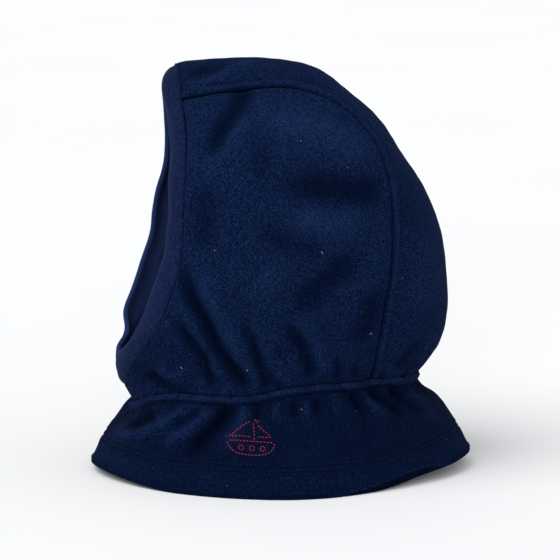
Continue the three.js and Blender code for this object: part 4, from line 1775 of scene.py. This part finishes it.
@dataclass
class BoatEmbroidery:
    """A small sailing boat in a running stitch of red thread, on the left of the collar.

    Attributes:
        collar: The collar's left half.
        ring_length: The length round the collar at the motif.
        finishes: The materials.
        width: The motif's width.
        height: Its height.
        before_side: How far its middle lies in front of the collar's side.
        above_hem: How far its middle is above the hem's edge.
        lines: The motif's lines, each as points (across, up) in shares of its width and height.
        portholes: The portholes' places across it, in shares of its width.
        porthole_radius: A porthole's radius.
        porthole_up: Their height, as a share of the motif's.
    """

    collar: Layer
    ring_length: float
    finishes: Finishes
    width: float = 29 * MM
    height: float = 23 * MM
    before_side: float = 22.5 * MM
    above_hem: float = 40 * MM
    lines: tuple[tuple[tuple[float, float], ...], ...] = (
        (
            (-0.5, -0.16), (-0.43, -0.34), (-0.28, -0.47), (0, -0.5),
            (0.28, -0.46), (0.43, -0.33), (0.5, -0.15),
        ),
        ((-0.46, -0.14), (-0.2, -0.12), (0.08, -0.12), (0.32, -0.13), (0.46, -0.14)),
        ((0.06, -0.08), (0.07, 0.15), (0.06, 0.42)),
        ((0, 0.44), (-0.17, 0.3), (-0.32, 0.12), (-0.43, -0.01), (-0.2, 0.01), (0, 0.01)),
        ((0.15, 0.34), (0.3, 0.18), (0.42, 0.03), (0.26, 0.01), (0.14, 0.01)),
        ((0.08, 0.5), (0.2, 0.47), (0.1, 0.41)),
    )
    portholes: tuple[float, ...] = (-0.22, 0, 0.22)
    porthole_radius: float = 1.5 * MM
    porthole_up: float = -0.31

    def build(self) -> None:
        """Makes and dresses the embroidery."""
        size = np.array([self.width, self.height, 1.0])
        parts = []
        for line in self.lines:
            curve = Spline(np.array([(a, b, 0.0) for a, b in line]) * size)
            parts.append(self._sewn(curve.at(np.linspace(0, 1, 60)), 1.5 * MM, 0.5 * MM))
        turn = np.linspace(0, 2 * np.pi, 40)
        for place in self.portholes:
            middle = np.array([place, self.porthole_up, 0.0]) * size
            circle = np.stack([np.cos(turn), np.sin(turn), 0 * turn], axis=-1)
            parts.append(self._sewn(middle + circle * self.porthole_radius, 1.1 * MM, 0.25 * MM))
        boat = joined("boat_stitches", parts)
        self.finishes.dress(boat, Slot.EMBROIDERY, ["boat_embroidery"])

    def _sewn(self, flat: Array, stitch: float, gap: float) -> bpy.types.Object:
        """A line of the motif, sewn to the collar.

        Args:
            flat: Points of the line on the flat motif, from its middle.
            stitch: Length of a stitch.
            gap: Length between two.

        Returns:
            The new stitches.
        """
        row = 0.5 + 2 * (-self.before_side + flat[:, 0]) / self.ring_length
        path, out = self.collar.spot(row, self.above_hem + flat[:, 1])
        return stitched("boat_line", path, out, stitch, gap, 0.3 * MM, sink=0.7)


@dataclass(frozen=True)
class Lint:
    """Loose pale fibres caught in the pile.

    Attributes:
        finishes: The materials.
        spots: Where they lie, seen from the left, as (back, up) in millimetres.
        length: The longest fibre.
        radius: A fibre's radius.
    """

    finishes: Finishes
    spots: tuple[tuple[float, float], ...] = (
        (7, 52), (-27, 76), (-67, 76), (19, 150), (-47, 153), (7, 219), (52, 96),
    )
    length: float = 2.2 * MM
    radius: float = 0.1 * MM

    def build(self, faces: Sequence[Layer]) -> None:
        """Makes and dresses the fibres.

        Args:
            faces: The outer faces that they may lie on.
        """
        draw = np.random.default_rng(SEED)
        points = np.concatenate([face.outer.reshape(-1, 3) for face in faces])
        normals = np.concatenate([face.out.reshape(-1, 3) for face in faces])
        parts = []
        for back, up in self.spots:
            gap = np.hypot(points[:, 1] - back * MM, points[:, 2] - up * MM)
            nearest = int(np.argmin(gap))
            n = normals[nearest]
            way = unit(np.cross(n, draw.normal(size=3)))
            reach = self.length * draw.uniform(0.3, 1) * np.linspace(-0.5, 0.5, 12)[:, None]
            bend = np.cross(n, way) * 0.25 * self.length * (reach / self.length) ** 2
            path = points[nearest] + way * reach + bend
            out = np.repeat(n[None], len(path), axis=0)
            span = np.ptp(reach) * 0.98
            parts.append(stitched("fibre", path, out, span, 0.0, self.radius, sink=0))
        self.finishes.dress(joined("lint_fibres", parts), Slot.ELASTIC, [])


def joined(name: str, parts: Sequence[bpy.types.Object]) -> bpy.types.Object:
    """Makes one object from several, which are removed.

    Args:
        name: Its name.
        parts: The objects.

    Returns:
        The new object.
    """
    points, faces = [], []
    for part in parts:
        start = len(points)
        points += [tuple(vertex.co) for vertex in part.data.vertices]
        faces += [tuple(start + i for i in polygon.vertices) for polygon in part.data.polygons]
        bpy.data.objects.remove(part)
    return mesh_object(name, np.array(points), faces)


# ---------------------------------------------------------------- studio


@dataclass(frozen=True)
class Studio:
    """The ground, the lights and the camera.

    Attributes:
        azimuth: Where the camera stands, in degrees round the object.
        elevation: How high it stands, in degrees.
        distance: From the target to the camera.
        lens: Focal length in millimetres.
        target: The point that it looks at.
        ground_radius: The ground's radius.
        ground_sides: How many sides its edge has.
    """

    azimuth: float = 85.0
    elevation: float = 10.0
    distance: float = 1.8
    lens: float = 180.0
    target: tuple[float, float, float] = (0.0, -0.00087, 0.1218)
    ground_radius: float = 12.0
    ground_sides: int = 96

    def build(self) -> None:
        """Makes the ground, the lights and the camera."""
        self._ground()
        self._light("key", (28, 54), 1.8, 45)
        self._light("fill", (150, 60), 0.4, 70)
        self._light("front", (80, 14), 1.0, 30)
        self._camera()
        world = bpy.data.worlds.new("studio")
        world.use_nodes = True
        sky = world.node_tree.nodes["Background"].inputs
        sky["Color"].default_value = colour(0.95, 0.97, 1.0)
        sky["Strength"].default_value = 0.5
        bpy.context.scene.world = world
        bpy.context.scene.view_settings.view_transform = "Standard"

    def _ground(self) -> None:
        """Makes a wide, flat, round ground."""
        turns = np.arange(self.ground_sides) / self.ground_sides * 2 * np.pi
        edge = np.stack([np.cos(turns), np.sin(turns), 0 * turns], axis=-1) * self.ground_radius
        ground = mesh_object("ground", edge, [tuple(range(self.ground_sides))])
        ground.data.materials.append(Paper().material())

    @staticmethod
    def _direction(azimuth: float, elevation: float) -> Vector:
        """The direction from the object at this azimuth and elevation in degrees."""
        a, e = math.radians(azimuth), math.radians(elevation)
        return Vector((math.sin(a) * math.cos(e), -math.cos(a) * math.cos(e), math.sin(e)))

    def _light(self, name: str, place: tuple[float, float], strength: float, spread: float) -> None:
        """Adds a sun.

        Args:
            name: Its name.
            place: The azimuth and elevation that it shines from, in degrees.
            strength: Its strength.
            spread: How wide it looks, in degrees.
        """
        lamp = bpy.data.lights.new(name, "SUN")
        lamp.energy = strength
        lamp.angle = math.radians(spread)
        made = bpy.data.objects.new(name, lamp)
        made.rotation_euler = self._direction(*place).to_track_quat("Z", "Y").to_euler()
        bpy.context.scene.collection.objects.link(made)

    def _camera(self) -> None:
        """Adds the camera."""
        lens = bpy.data.cameras.new("camera")
        lens.lens = self.lens
        lens.sensor_width = 36.0
        made = bpy.data.objects.new("camera", lens)
        way = self._direction(self.azimuth, self.elevation)
        made.location = Vector(self.target) + way * self.distance
        made.rotation_euler = way.to_track_quat("Z", "Y").to_euler()
        bpy.context.scene.collection.objects.link(made)
        bpy.context.scene.camera = made


# ---------------------------------------------------------------- the whole


def main() -> None:
    """Builds the balaclava and its studio."""
    logging.basicConfig(level=logging.INFO, format="%(message)s")
    cut = Cut.from_frame()
    drape = Drape(cut)
    finishes = Finishes()
    panel = Hood(cut, drape, finishes).build()
    FaceBinding(cut, drape, finishes).build()
    left = Collar(cut, drape, finishes).build()
    s = np.linspace(0, 1, 200)
    middle = cut.collar(s, 0 * s + 0.5)
    ring = float(lengths(middle).sum())
    BoatEmbroidery(left, ring, finishes).build()
    Lint(finishes).build([panel, left])
    Studio().build()


if __name__ == "__main__":
    main()
